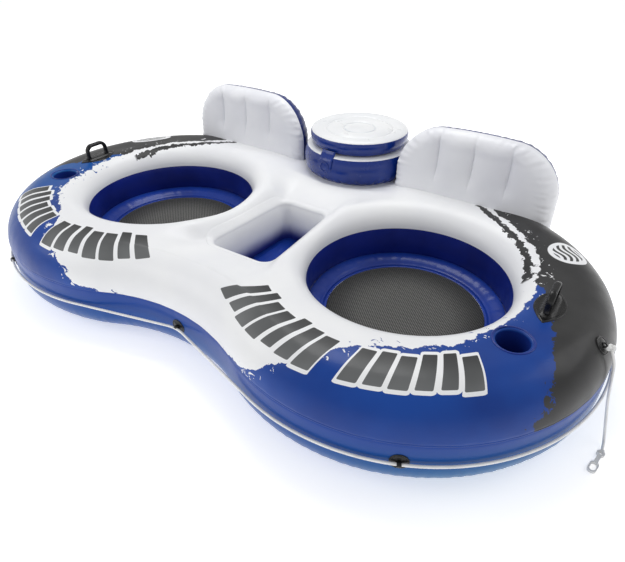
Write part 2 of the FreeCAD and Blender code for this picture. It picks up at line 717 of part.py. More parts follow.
def anchor_parts():
    """Upper patch where the rope is tied off, its loop, and the knot in front of it."""
    tilt = math.radians(ANCHOR_TILT)
    out = direction(ANCHOR_ANGLE)
    normal = out * math.cos(tilt) + UP * math.sin(tilt)
    surface = SEAT + out * (LOBE_R - TOP_ROUND) + UP * SEAM_Z + normal * (TOP_ROUND + GAP)
    patch = placed(disc(GUIDE_PATCH_R, GUIDE_PATCH_T, V(0, 0, 0)), surface, ANCHOR_ANGLE, 90 - ANCHOR_TILT)
    post = placed(disc(6, 9, V(0, 0, GUIDE_PATCH_T)), surface, ANCHOR_ANGLE, 90 - ANCHOR_TILT)
    knot_end = V(*TAIL_POINTS[0])
    back = (V(*TAIL_POINTS[0]) - V(*TAIL_POINTS[1])).normalize()
    knot = disc(KNOT_R, KNOT_LENGTH, knot_end, back)
    knot = knot.makeFillet(KNOT_R * 0.6, [e for e in knot.Edges if hasattr(e.Curve, "Radius")])
    return patch.fuse(post), knot


def hook_parts():
    """Snap hook lying flat: eye, shank and hook in one moulding, and its sprung gate."""
    half = HOOK_T / 2
    eye = disc(11, HOOK_T, V(0, 0, -half))
    shank = Part.makeBox(40, 11, HOOK_T, V(4, -5.5, -half))
    hook = disc(HOOK_OUT_R, HOOK_T, V(HOOK_LENGTH - HOOK_OUT_R, 0, -half))
    heel = disc(HOOK_OUT_R, HOOK_T, V(HOOK_LENGTH - HOOK_OUT_R - 16, 0, -half))
    bridge = Part.makeBox(16, 2 * HOOK_OUT_R, HOOK_T, V(HOOK_LENGTH - HOOK_OUT_R - 16, -HOOK_OUT_R, -half))
    boss = Part.makeBox(10, ROPE_D + 2, HOOK_T, V(-15, -ROPE_D / 2 - 1, -half))
    body = eye.fuse([shank, hook, heel, bridge, boss])
    body = body.cut(disc(5.5, 3 * HOOK_T, V(0, 0, -HOOK_T)))
    throat_r = HOOK_OUT_R - 5
    body = body.cut(disc(throat_r, 3 * HOOK_T, V(HOOK_LENGTH - HOOK_OUT_R, 0, -HOOK_T)))
    body = body.cut(disc(throat_r, 3 * HOOK_T, V(HOOK_LENGTH - HOOK_OUT_R - 16, 0, -HOOK_T)))
    body = body.cut(Part.makeBox(16, 2 * throat_r, 3 * HOOK_T,
                                 V(HOOK_LENGTH - HOOK_OUT_R - 16, -throat_r, -HOOK_T)))
    gate_start = HOOK_LENGTH - HOOK_OUT_R - 16
    mouth = Part.makeBox(16, 8, 3 * HOOK_T, V(gate_start, throat_r - 1, -HOOK_T))
    body = body.cut(mouth)
    gate = Part.makeBox(13.3, 4, HOOK_T - 2, V(gate_start + 2.4, HOOK_OUT_R - 4.5, -half + 1))
    gate = gate.fuse(disc(2, HOOK_T - 2, V(gate_start + 2.4, HOOK_OUT_R - 2.5, -half + 1))).removeSplitter()
    eye_place = V(*HOOK_EYE)
    return [placed(piece, eye_place, HOOK_HEADING) for piece in (body.removeSplitter(), gate)]


# ---------------------------------------------------------------- air valves

def valve_parts(place, angle, tilt):
    """Welded flange with its stem, and the hinged cap that stands closed on it."""
    base = disc(VALVE_FLANGE_R, 1.5, V(0, 0, GAP)).fuse(disc(VALVE_STEM_R, 5, V(0, 0, GAP)))
    base = base.cut(disc(VALVE_BORE_R, 20, V(0, 0, -5)))
    cap = disc(VALVE_CAP_R, 3, V(0, 0, 5 + 2 * GAP)).fuse(disc(VALVE_PLUG_R, 3.5, V(0, 0, 2.5)))
    tab = Part.makeBox(7, 7, 3, V(VALVE_CAP_R - 2, -3.5, 5 + 2 * GAP))
    pieces = (base.removeSplitter(), cap.fuse(tab).removeSplitter())
    return [placed(piece, place, angle, tilt) for piece in pieces]


def valves():
    """Each valve by name: one for every air chamber."""
    hull_out = direction(HULL_VALVE_ANGLE)
    tilt = math.radians(HULL_VALVE_TILT)
    normal = hull_out * math.cos(tilt) + UP * math.sin(tilt)
    hull_place = SEAT + hull_out * (LOBE_R - TOP_ROUND) + UP * SEAM_Z + normal * TOP_ROUND
    ring_place = COOLER + direction(RING_VALVE_ANGLE) * RING_R + V(0, 0, 362)
    lid_place = COOLER + direction(LID_VALVE_ANGLE) * LID_R + V(0, 0, 447)
    back_place = V(SEAT_X, BACK_Y + BACK_BULGE, 340)
    hull = valve_parts(hull_place, HULL_VALVE_ANGLE, 90 - HULL_VALVE_TILT)
    back = valve_parts(back_place, 90, 90)
    return {"hull_valve_right": hull, "hull_valve_left": [mirrored(piece) for piece in hull],
            "cooler_valve": valve_parts(ring_place, RING_VALVE_ANGLE, 90),
            "lid_valve": valve_parts(lid_place, LID_VALVE_ANGLE, 90),
            "backrest_valve_right": back, "backrest_valve_left": [mirrored(piece) for piece in back]}


def save_pair(name, *solids):
    save(name + "_right", *solids)
    save(name + "_left", *[mirrored(piece) for piece in solids])


def build():
    top_sheet, bottom_sheet = hull_sheets()
    save("hull_top_sheet", top_sheet)
    save("hull_bottom_sheet", bottom_sheet)
    save("hull_seam_tape", seam_tape())
    save("chamber_dividers", chamber_dividers())
    save("console_webs", *console_webs())
    for name, piece in seat_parts().items():
        save_pair(name, piece)
    storage_wall, storage_floor = storage_parts()
    save("storage_wall", storage_wall)
    save("storage_floor", storage_floor)
    save_pair("cup_well", cup_well())

    ring_side, ring_top = cooler_ring()
    liner_wall, liner_floor = cooler_liner()
    save("cooler_ring_side", ring_side)
    save("cooler_ring_top", ring_top)
    save("cooler_liner_wall", liner_wall)
    save("cooler_liner_floor", liner_floor)
    for name, pieces in lid_parts().items():
        save(name, *pieces)
    strap_lower, strap_upper = lid_strap()
    save("lid_strap_lower", strap_lower)
    save("lid_strap_upper", strap_upper)
    for name, piece in zip(("lid_tab", "lid_tab_button", "cooler_button"), lid_tab()):
        save(name, piece)

    front, rear, ties = backrest_parts()
    save_pair("backrest_front", front)
    save_pair("backrest_rear", rear)
    save_pair("backrest_ties", *ties)

    patch, grip = handle_parts()
    save_pair("handle_patch", patch)
    save_pair("handle_grip", grip)
    save("rope_guides", *rope_guides())
    save("grab_rope", grab_rope())
    anchor, knot = anchor_parts()
    save("rope_anchor", anchor)
    save("rope_knot", knot)
    save("tail_rope", tail_rope())
    hook, gate = hook_parts()
    save("snap_hook", hook)
    save("snap_hook_gate", gate)

    for name, (base, cap) in valves().items():
        save(name + "_base", base)
        save(name + "_cap", cap)


if __name__ == "__main__":
    os.makedirs("parts", exist_ok=True)
    build()
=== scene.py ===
import json
import math

import bmesh
import bpy
import numpy as np
from mathutils import Matrix, Vector, geometry, noise
from mathutils.kdtree import KDTree


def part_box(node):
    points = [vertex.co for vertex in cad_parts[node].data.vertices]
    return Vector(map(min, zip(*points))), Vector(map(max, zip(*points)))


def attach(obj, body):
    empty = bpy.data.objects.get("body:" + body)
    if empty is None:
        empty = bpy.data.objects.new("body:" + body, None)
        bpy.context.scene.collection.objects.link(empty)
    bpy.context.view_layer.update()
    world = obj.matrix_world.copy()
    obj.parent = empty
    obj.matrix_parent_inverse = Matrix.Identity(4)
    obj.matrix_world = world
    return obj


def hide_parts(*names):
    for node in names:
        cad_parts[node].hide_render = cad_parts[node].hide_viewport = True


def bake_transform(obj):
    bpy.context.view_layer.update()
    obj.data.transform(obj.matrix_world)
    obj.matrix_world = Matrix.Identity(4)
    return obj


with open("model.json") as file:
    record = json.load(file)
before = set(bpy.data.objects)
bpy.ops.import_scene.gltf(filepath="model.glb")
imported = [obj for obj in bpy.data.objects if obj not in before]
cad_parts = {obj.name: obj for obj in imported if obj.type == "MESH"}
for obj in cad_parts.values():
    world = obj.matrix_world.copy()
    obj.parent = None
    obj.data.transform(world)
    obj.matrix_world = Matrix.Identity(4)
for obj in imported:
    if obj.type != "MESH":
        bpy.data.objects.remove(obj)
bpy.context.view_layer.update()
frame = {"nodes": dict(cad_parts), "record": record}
scene = bpy.context.scene


def centre(node):
    low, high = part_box(node)
    return (low + high) / 2


def half_width(node):
    low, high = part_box(node)
    return (high.x - low.x) / 2


# ---------------------------------------------------------------- sizes in metres: from the frame, or chosen

SIDES = (("right", 1), ("left", -1))

# hull, and the film inside it
FILM = 0.0012
SEAT = centre("seat_mesh_right")
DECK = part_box("hull_top_sheet")[1].z
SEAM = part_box("hull_top_sheet")[0].z
LOBE_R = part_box("hull_top_sheet")[1].x - SEAT.x
COOLER = centre("cooler_liner_floor")
BULGE_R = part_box("hull_top_sheet")[1].y - COOLER.y
WAIST_REACH = 0.520
REAR_FILLET = 0.250
TOP_ROUND = DECK - SEAM
DECK_EDGE = 0.122
BOTTOM_ROUND = 0.105

# seats
MESH_R = half_width("seat_mesh_right")
MESH_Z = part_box("seat_mesh_right")[1].z
SEAT_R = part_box("seat_wall_right")[1].x - SEAT.x - 0.003
WALL_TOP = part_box("seat_wall_right")[1].z
WALL_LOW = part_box("seat_wall_right")[0].z
SEAT_TOP_ROLL = DECK - WALL_TOP
SEAT_LOW_ROLL = WALL_LOW
SEAT_RING = 0.064
SEAT_COUNT = 288

# storage well and cup wells
WELL_LOW, WELL_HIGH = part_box("storage_floor")
WELL_FRONT_HALF = 0.137
WELL_BACK_HALF = 0.107
WELL_CORNER = 0.042
WELL_ROLL = 0.017
WELL_RIM = ((0.034, 0.0), (0.0300, 0.0), (0.0285, 0.0012), (0.0270, 0.0), (0.0235, 0.0))
WELL_DIP = 0.061
CUP = centre("cup_well_right")
CUP_R = half_width("cup_well_right") - 0.002
CUP_ROLL = 0.007
CUP_COUNT = 64

# cooler and lid
COOLER_DIP = 0.022
COOLER_BASE_R = 0.232
COOLER_HOLE = 0.1283
COOLER_COUNT = 320
LINER_R = half_width("cooler_liner_floor")
LINER_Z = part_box("cooler_liner_floor")[1].z
RING_R = half_width("cooler_ring_side")
RING_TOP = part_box("cooler_ring_top")[1].z
LID_R = half_width("lid_side_band")
LID_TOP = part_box("lid_top_panel")[1].z
LID_EDGE = LID_R - 0.001
LID_SEAM = LID_TOP - 0.0045
LID_GROOVES = (0.144, 0.070)

# backrests
BACK_LOW, BACK_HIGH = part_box("backrest_front_right")
BACK_MIDDLE = Vector(((BACK_LOW.x + BACK_HIGH.x) / 2, BACK_HIGH.y, 0))
BACK_HALF = half_width("backrest_front_right")
BACK_TOP = BACK_HIGH.z
BACK_DEEP = BACK_HIGH.y - BACK_LOW.y
BACK_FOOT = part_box("backrest_rear_right")[0].z
BACK_CORNER = 0.175
BACK_ARCH = 0.022
EDGE_ROUND = 0.056
GROOVES = (-0.140, 0.0, 0.140)

# ropes
ROPE_D = 0.0085
ROPE_Z = centre("grab_rope").z
STAND_OFF = 0.0095

# The tail rope's route from its knot to the hook's eye, with y measured from the seats' middle
TAIL = ((1.1860, -0.068, 0.2830), (1.2030, -0.070, 0.2500), (1.2110, -0.072, 0.2000),
        (1.2200, -0.080, 0.1350), (1.2340, -0.092, 0.0750), (1.2470, -0.107, 0.0210),
        (1.2525, -0.127, 0.0052), (1.2530, -0.150, 0.0048))


# ---------------------------------------------------------------- camera

CAMERA_PLACE = Vector((1.1181, -1.48545, 1.2289))
CAMERA_TURN, CAMERA_RISE, CAMERA_ROLL = 33.2994, 34.0143, 0.2647
CAMERA_LENS = 30.165
CAMERA_SHIFT = (-0.0193, -0.0127)


def make_camera():
    azimuth, elevation, lean = (math.radians(a) for a in (CAMERA_TURN, CAMERA_RISE, CAMERA_ROLL))
    back = Vector((math.sin(azimuth) * math.cos(elevation),
                   -math.cos(azimuth) * math.cos(elevation), math.sin(elevation)))
    right = Vector((math.cos(azimuth), math.sin(azimuth), 0))
    up = back.cross(right)
    turned_right = right * math.cos(lean) + up * math.sin(lean)
    turned_up = up * math.cos(lean) - right * math.sin(lean)
    data = bpy.data.cameras.new("camera")
    data.sensor_width = 36.0
    data.lens = CAMERA_LENS
    data.shift_x, data.shift_y = CAMERA_SHIFT
    camera = bpy.data.objects.new("camera", data)
    rows = list(zip(turned_right, turned_up, back, CAMERA_PLACE))
    camera.matrix_world = Matrix([*rows, (0, 0, 0, 1)])
    scene.collection.objects.link(camera)
    scene.camera = camera


make_camera()


# ---------------------------------------------------------------- material tools

class Wire:
    """One output in a shader tree; arithmetic on it adds Math nodes."""

    def __init__(self, tree, socket):
        self.tree, self.socket = tree, socket

    def math(self, operation, *others):
        node = self.tree.nodes.new("ShaderNodeMath")
        node.operation = operation
        for slot, value in zip(node.inputs, (self, *others)):
            put(self.tree, slot, value)
        return Wire(self.tree, node.outputs[0])

    def __add__(self, other): return self.math("ADD", other)
    def __sub__(self, other): return self.math("SUBTRACT", other)
    def __mul__(self, other): return self.math("MULTIPLY", other)
    def __truediv__(self, other): return self.math("DIVIDE", other)
    def __rmul__(self, other): return self.math("MULTIPLY", other)
    def __radd__(self, other): return self.math("ADD", other)
    def __rsub__(self, other): return (self * -1.0).math("ADD", other)

    def ramp(self, low, high, out_low=0.0, out_high=1.0):
        """A smooth step from out_low to out_high as this goes from low to high."""
        node = self.tree.nodes.new("ShaderNodeMapRange")
        node.interpolation_type = "SMOOTHSTEP"
        for name, value in (("Value", self), ("From Min", low), ("From Max", high),
                            ("To Min", out_low), ("To Max", out_high)):
            put(self.tree, node.inputs[name], value)
        return Wire(self.tree, node.outputs["Result"])

    def curve(self, points, low, high):
        """Piecewise curve through (this, value) points, where this runs from low to high."""
        node = self.tree.nodes.new("ShaderNodeFloatCurve")
        line = node.mapping.curves[0]
        for _ in points[2:]:
            line.points.new(0.5, 0.5)
        for point, (x, y) in zip(line.points, points):
            point.location = ((x - low) / (high - low), y)
        node.mapping.update()
        put(self.tree, node.inputs["Value"], (self - low) / (high - low))
        return Wire(self.tree, node.outputs[0])


def put(tree, slot, value):
    if isinstance(value, Wire):
        tree.links.new(value.socket, slot)
    else:
        slot.default_value = value


def mix(tree, share, first, second):
    """Colour between two colours or colour wires."""
    node = tree.nodes.new("ShaderNodeMix")
    node.data_type = "RGBA"
    put(tree, node.inputs["Factor"], share)
    for name, value in (("A", first), ("B", second)):
        slot = [s for s in node.inputs if s.name == name and s.type == "RGBA"][0]
        put(tree, slot, value if isinstance(value, Wire) else (*value, 1.0))
    return Wire(tree, [s for s in node.outputs if s.type == "RGBA"][0])


def noise_of(tree, scale, detail=2.0, rough=0.5, distortion=0.0):
    node = tree.nodes.new("ShaderNodeTexNoise")
    for slot, value in (("Scale", scale), ("Detail", detail), ("Roughness", rough),
                        ("Distortion", distortion)):
        node.inputs[slot].default_value = value
    tree.links.new(object_point(tree).socket, node.inputs["Vector"])
    return Wire(tree, node.outputs["Fac"])


def object_point(tree):
    node = tree.nodes.get("where") or tree.nodes.new("ShaderNodeTexCoord")
    node.name = "where"
    return Wire(tree, node.outputs["Object"])


def xyz(tree):
    node = tree.nodes.new("ShaderNodeSeparateXYZ")
    tree.links.new(object_point(tree).socket, node.inputs[0])
    return [Wire(tree, node.outputs[i]) for i in range(3)]


def linear(red, green, blue):
    """Scene-linear colour of an 8-bit display colour."""
    return tuple((c / 255 / 12.92) if c <= 10 else ((c / 255 + 0.055) / 1.055) ** 2.4
                 for c in (red, green, blue))


def new_material(name, roughness=0.4, coat=0.0, coat_roughness=0.15, sheen=0.0):
    material = bpy.data.materials.new(name)
    material.use_nodes = True
    tree = material.node_tree
    shader = tree.nodes["Principled BSDF"]
    for slot, value in (("Roughness", roughness), ("Coat Weight", coat), ("Coat Roughness", coat_roughness),
                        ("IOR", 1.5), ("Sheen Weight", sheen), ("Specular IOR Level", 0.22)):
        shader.inputs[slot].default_value = value
    return material, tree, shader


def paint(tree, shader, colour):
    put(tree, shader.inputs["Base Color"], colour)


def clouds(tree, scale, low=0.0, high=1.0, detail=3.0):
    """Slow uneven values between low and high."""
    return noise_of(tree, scale, detail).ramp(0.3, 0.7, low, high)


def bump(tree, shader, height, strength, distance):
    node = tree.nodes.new("ShaderNodeBump")
    node.inputs["Strength"].default_value = strength
    node.inputs["Distance"].default_value = distance
    tree.links.new(height.socket, node.inputs["Height"])
    tree.links.new(node.outputs["Normal"], shader.inputs["Normal"])


# ---------------------------------------------------------------- materials

def film_grain(tree, shader, scale=1500.0, sag_scale=14.0, extra=None):
    """Fine pebble grain over a slow unevenness."""
    height = noise_of(tree, scale, 1.0) * 0.12 + noise_of(tree, sag_scale, 1.0)
    bump(tree, shader, height if extra is None else height + extra, 0.35, 0.0012)


def vinyl(name, colour, shade, roughness=0.34, coat=0.25):
    """Welded film in one colour: fine pebble grain, soft cloudy tone and uneven gloss."""
    material, tree, shader = new_material(name, roughness, coat)
    cloud = clouds(tree, 5.0)
    paint(tree, shader, mix(tree, cloud, colour, shade))
    put(tree, shader.inputs["Roughness"], clouds(tree, 22.0, roughness - 0.05, roughness + 0.07))
    film_grain(tree, shader)
    return material


WHITE = linear(241, 242, 243)
WHITE_SHADE = linear(235, 236, 239)
BLUE = linear(14, 68, 154)
BLUE_SHADE = linear(10, 54, 134)
BLACK = linear(58, 58, 58)
BLACK_SHADE = linear(42, 42, 43)


def lobe_coordinates(tree):
    """Angle in degrees round the nearer seat, 0 outward and -90 in front, and the way out along the skin."""
    x, y, z = xyz(tree)
    across = x.math("ABSOLUTE") - SEAT.x
    along = y - SEAT.y
    angle = along.math("ARCTAN2", across) * (180 / math.pi)
    radius = (across * across + along * along).math("SQRT")
    crown = LOBE_R - TOP_ROUND
    bend = (radius - crown).math("MAXIMUM", 0.0).math("ARCTAN2", z - SEAM)
    way = radius.math("MINIMUM", crown) + bend * TOP_ROUND
    return x, angle, way


# angle round the seat, and how far out along the skin the colour starts there
COLOUR_EDGE = ((-180, 0.90), (-138, 0.80), (-118, 0.725), (-107, 0.695), (-99, 0.622), (-92, 0.560),
               (-86, 0.515), (-78, 0.462), (-62, 0.436), (-50, 0.430), (-32, 0.402), (-19, 0.392),
               (-8, 0.390), (0, 0.392), (12, 0.396), (24, 0.408), (31, 0.416), (46, 0.432),
               (60, 0.446), (78, 0.492), (92, 0.590), (106, 0.700), (120, 0.90), (180, 0.90))
# way out along the skin, and the angle where blue gives way to dark grey
DARK_EDGE = ((0.30, 15), (0.40, 11), (0.45, -4), (0.50, -13), (0.54, -19), (0.585, -27), (0.64, -31),
             (0.72, -36), (0.90, -38))
DARK_EDGE_LOW, DARK_EDGE_SPAN = -45.0, 100.0


def band(value, low, high, soft):
    """1 between low and high, with soft edges."""
    return value.ramp(low - soft, low + soft) * value.ramp(high - soft, high + soft, 1.0, 0.0)


def slanted_bars(tree, angle, way):
    """An arc of plain slanted bars in front of each seat, and the wider outline that follows them."""
    pitch, first, last, gap_after, middle = 6.1, -129.8, -44.4, 7.0, 0.530
    turned = angle + (way - middle) * 26.0
    cell = (turned - first) / pitch
    number = cell.math("FLOOR")
    node = tree.nodes.new("ShaderNodeTexWhiteNoise")
    node.noise_dimensions = "1D"
    tree.links.new(number.socket, node.inputs["W"])
    chance = Wire(tree, node.outputs["Value"])
    half_bar = chance * 0.10 + 0.33
    inner = chance.ramp(0.2, 0.8, 0.462, 0.478)
    outer = angle.ramp(-115.0, -60.0, 0.600, 0.574) + chance * 0.010
    kept = band(turned, first, last, 0.02) * (1.0 - number.math("COMPARE", gap_after, 0.5))
    metres = pitch * math.pi / 180 * middle
    aside = ((cell.math("FRACT") - 0.5).math("ABSOLUTE") - half_bar) * metres
    beyond = (way - outer).math("MAXIMUM", inner - way)
    corner = 0.004
    round_a = (aside + corner).math("MAXIMUM", 0.0)
    round_b = (beyond + corner).math("MAXIMUM", 0.0)
    away = (round_a * round_a + round_b * round_b).math("SQRT") - corner
    bars = away.ramp(-0.0004, 0.0004, 1.0, 0.0) * kept
    outline = away.ramp(0.0105, 0.0113, 1.0, 0.0) * kept
    return bars, outline


def badge(x, angle, way, side, at_angle, at_way, half_angle, half_way):
    """A white oval with plain wave bars in it, on one side only."""
    along = (angle - at_angle) / half_angle
    out = (way - at_way) / half_way
    size = (along * along + out * out).math("SQRT")
    here = x.math("GREATER_THAN", 0.0) if side > 0 else x.math("LESS_THAN", 0.0)
    disc = size.ramp(0.97, 1.0, 1.0, 0.0) * here
    wave = (out + (along * 4.0).math("SINE") * 0.14) * 3.2
    bars = band(wave.math("FRACT"), 0.25, 0.75, 0.05) * size.ramp(0.72, 0.76, 1.0, 0.0) * here
    return disc, bars


def deck_material():
    """Printed top sheet: white middle, torn blue and dark-grey ends, bars and two badges."""
    material, tree, shader = new_material("deck_print", 0.3, 0.12, 0.14)
    x, angle, way = lobe_coordinates(tree)
    torn = (noise_of(tree, 17.0, 2.0, 0.5) - 0.5) * 0.046 + (noise_of(tree, 60.0, 4.0, 0.7) - 0.5) * 0.030
    beyond = way - angle.curve(COLOUR_EDGE, -180.0, 180.0)
    edge = (beyond + torn).ramp(-0.0006, 0.0006)
    flecks = noise_of(tree, 34.0, 3.0, 0.66, distortion=0.8)
    holes = band(beyond, 0.004, 0.040, 0.008) * flecks.ramp(0.625, 0.628)
    spatter = band(beyond, -0.030, 0.0, 0.006) * flecks.ramp(0.645, 0.648)
    ragged = (noise_of(tree, 44.0, 3.0, 0.6) - 0.5) * 0.055
    splinter = band(beyond + ragged, -0.046, -0.022, 0.0006) * band(angle, 17.0, 84.0, 1.0)
    coloured = (edge * (1.0 - holes) + spatter + splinter).math("MINIMUM", 1.0)
    shares = [(w, (a - DARK_EDGE_LOW) / DARK_EDGE_SPAN) for w, a in DARK_EDGE]
    turn = way.curve(shares, 0.30, 0.90) * DARK_EDGE_SPAN + DARK_EDGE_LOW
    streaks = (noise_of(tree, 9.0, 2.0) - 0.5) * 22.0 + (noise_of(tree, 38.0, 4.0, 0.65) - 0.5) * 16.0
    darkness = (angle - turn + streaks).ramp(-0.12, 0.12)
    cloud = clouds(tree, 4.0)
    # Painted light: the blue turns lighter and greener towards the left end of the float, past x = -0.70,
    # standing for the light that falls on that end.
    blue = mix(tree, x.ramp(-0.70, -1.15, 0.0, 0.7), mix(tree, cloud, BLUE, BLUE_SHADE), linear(12, 92, 156))
    black = mix(tree, cloud, BLACK, BLACK_SHADE)
    white = mix(tree, cloud, WHITE, WHITE_SHADE)
    colour = mix(tree, coloured, white, mix(tree, darkness, blue, black))
    bars, outline = slanted_bars(tree, angle, way)
    colour = mix(tree, outline, colour, white)
    fade = way.ramp(0.46, 0.60) * clouds(tree, 6.0, 0.6, 1.0, 2.0)
    colour = mix(tree, bars, colour, mix(tree, fade, linear(54, 55, 56), linear(112, 114, 115)))
    for badge_place in ((1, 36.0, 0.524, 7.5, 0.064), (-1, 33.0, 0.522, 10.5, 0.034)):
        disc, marks = badge(x, angle, way, *badge_place)
        colour = mix(tree, disc, colour, white)
        colour = mix(tree, marks, colour, BLACK)
    paint(tree, shader, colour)
    put(tree, shader.inputs["Roughness"], clouds(tree, 18.0, 0.30, 0.40) + coloured * 0.03)
    film_grain(tree, shader, 1400.0, 12.0, edge * 0.03)
    return material


def lower_material():
    """Bottom sheet: blue that turns to teal low down on the two ends."""
    material, tree, shader = new_material("lower_blue", 0.3, 0.12, 0.14)
    x, _, z = xyz(tree)
    low = z.ramp(0.20, 0.05)
    end = x.math("ABSOLUTE").ramp(0.45, 1.15, 0.4, 1.0)
    teal = low * end * noise_of(tree, 3.0).ramp(0.25, 0.75, 0.7, 1.0)
    paint(tree, shader, mix(tree, teal, linear(14, 62, 148), linear(10, 102, 152)))
    film_grain(tree, shader, 1400.0, 12.0)
    return material


def well_material():
    """Storage well wall: white, running into navy towards the floor."""
    material, tree, shader = new_material("white_film", 0.34, 0.25)
    z = xyz(tree)[2]
    fade = (z + noise_of(tree, 8.0) * 0.02).ramp(0.185, 0.105)
    paint(tree, shader, mix(tree, fade, WHITE, linear(44, 54, 140)))
    film_grain(tree, shader)
    return material


def mesh_material():
    """Seat fabric: open diagonal basket weave, painted light at its raised crossings as a painted highlight,
    near-black where it lies low and in its gaps as painted shade, and darker towards its rim as painted shade
    under the hem and wall.
    """
    material, tree, shader = new_material("seat_mesh", 0.62, 0.0, sheen=0.15)
    x, y, _ = xyz(tree)
    pitch = 0.0104
    one = (x + y) / pitch
    two = (x - y) / pitch
    turn = (one.math("FLOOR") + two.math("FLOOR")).math("PINGPONG", 1.0)
    thread_one = band(one.math("FRACT"), 0.20, 0.80, 0.10)
    thread_two = band(two.math("FRACT"), 0.20, 0.80, 0.10)
    height = thread_one * (turn * 0.6 + 0.4) + thread_two * (1.0 - turn * 0.6)
    # Painted highlight and painted shade: the weave is painted light where it stands highest, at the
    # crossings, and near-black where it lies low and in its gaps.
    top = height.ramp(0.45, 1.45)
    across = x.math("ABSOLUTE") - SEAT.x
    along = y - SEAT.y
    # Painted shade: the fabric is painted darker towards its rim, under the hem and the seat wall.
    painted_rim_shade = (across * across + along * along).math("SQRT").ramp(MESH_R * 0.5, MESH_R, 0.0, 0.75)
    colour = mix(tree, top, linear(6, 6, 6), linear(126, 126, 122))
    paint(tree, shader, mix(tree, painted_rim_shade, colour, linear(12, 12, 12)))
    bump(tree, shader, height, 0.7, 0.0014)
    return material


def rope_material():
    material, tree, shader = new_material("rope_white", 0.72, 0.0, sheen=0.35)
    fibre = noise_of(tree, 900.0, 3.0, 0.7)
    dust = noise_of(tree, 30.0, 2.0)
    colour = mix(tree, dust.ramp(0.35, 0.75), linear(248, 248, 247), linear(236, 236, 235))
    colour = mix(tree, fibre.ramp(0.35, 0.65, 0.12, 0.0), colour, linear(170, 172, 175))
    paint(tree, shader, colour)
    bump(tree, shader, fibre, 0.5, 0.0006)
    return material


def moulded_material(name, colour, shade, roughness, coat=0.1):
    """Moulded rubber or plastic with a fine matt texture."""
    material, tree, shader = new_material(name, roughness, coat, 0.2)
    tone = clouds(tree, 35.0)
    paint(tree, shader, mix(tree, tone, colour, shade))
    put(tree, shader.inputs["Roughness"], clouds(tree, 60.0, roughness - 0.06, roughness + 0.08, 2.0))
    bump(tree, shader, noise_of(tree, 2200.0, 2.0), 0.3, 0.0004)
    return material


MATERIALS = {
    "deck_print": deck_material(),
    "hull_blue": lower_material(),
    "seat_navy": vinyl("seat_navy", linear(20, 38, 128), linear(14, 28, 104)),
    "flange_blue": vinyl("flange_blue", linear(26, 62, 158), linear(20, 50, 138)),
    "seat_mesh": mesh_material(),
    "white_film": well_material(),
    "cup_blue": vinyl("cup_blue", linear(28, 54, 140), linear(22, 44, 122)),
    "cooler_blue": vinyl("cooler_blue", linear(16, 50, 134), linear(12, 40, 116), 0.22, 0.5),
    "cooler_white": vinyl("cooler_white", linear(236, 237, 238), linear(226, 228, 231), 0.32, 0.3),
    "backrest_white": vinyl("backrest_white", linear(236, 237, 241), linear(228, 229, 235), 0.34, 0.25),
    "backrest_navy": vinyl("backrest_navy", linear(16, 42, 118), linear(12, 32, 98), 0.3, 0.35),
    "black_rubber": moulded_material("black_rubber", linear(26, 26, 27), linear(14, 14, 15), 0.26, 0.25),
    "white_rope": rope_material(),
    "white_plastic": moulded_material("white_plastic", linear(232, 232, 230),
                                      linear(216, 217, 218), 0.38, 0.15),
    "valve_vinyl": moulded_material("valve_vinyl", linear(206, 211, 218), linear(190, 196, 205), 0.3, 0.3),
    "inner_film": vinyl("inner_film", linear(214, 219, 226), linear(204, 210, 218)),
}


# ---------------------------------------------------------------- mesh tools

def piece(name, points, faces, slot, body, replaces=(), thick=0.0):
    """A shaded mesh piece that rides on a body; thick gives a film its thickness, inward."""
    mesh = bpy.data.meshes.new(name)
    mesh.from_pydata([tuple(p) for p in points], [], faces)
    mesh.validate()
    made = bmesh.new()
    made.from_mesh(mesh)
    bmesh.ops.remove_doubles(made, verts=made.verts, dist=1e-5)
    bmesh.ops.recalc_face_normals(made, faces=made.faces)
    made.to_mesh(mesh)
    made.free()
    mesh.shade_smooth()
    mesh.materials.append(MATERIALS[slot])
    made = bpy.data.objects.new(name, mesh)
    scene.collection.objects.link(made)
    if thick:
        film = made.modifiers.new("film", "SOLIDIFY")
        film.thickness = thick
        film.offset = -1.0
    if body:
        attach(made, body)
    if replaces:
        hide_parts(*replaces)
    return made


def strip(rows, count, start=0, closed=True, joined=False):
    """Quads between rows of count points each; joined ties the last row to the first."""
    faces = []
    for row in range(rows if joined else rows - 1):
        for i in range(count if closed else count - 1):
            j = (i + 1) % count
            low, high = start + row * count, start + (row + 1) % rows * count
            faces.append((low + i, low + j, high + j, high + i))
    return faces


def tube_faces(rows, count, joined=False):
    """Faces of a tube whose ends are capped, or joined to each other."""
    if joined:
        return strip(rows, count, joined=True)
    last = (rows - 1) * count
    return strip(rows, count) + [tuple(range(count))[::-1], tuple(range(last, last + count))]


def merged(parts):
    """One list of points and one of faces, from several of each."""
    points, faces = [], []
    for more, more_faces in parts:
        faces += [tuple(i + len(points) for i in face) for face in more_faces]
        points += more
    return points, faces


def turns_of(count):
    """Angles evenly round a circle."""
    return np.linspace(0, 2 * math.pi, count, endpoint=False)


def hill(value, middle, width):
    """A smooth hump, 1 at the middle."""
    return math.exp(-((value - middle) / width) ** 2)


def held(value):
    """A value kept between 0 and 1."""
    return min(1.0, max(0.0, value))


def roll(radius, count, start=0.0):
    """(inset, drop) pairs round a quarter circle, from the top of a rolled edge to its side."""
    turns = np.linspace(start, math.pi / 2, count)
    return [(radius * (1 - math.sin(t)), radius * (1 - math.cos(t))) for t in turns]


def edge_drop(radius, inset):
    """How far a rolled edge has fallen at a place that far in from its side."""
    if inset >= radius:
        return 0.0
    return radius - math.sqrt(max(0.0, radius ** 2 - (radius - inset) ** 2))


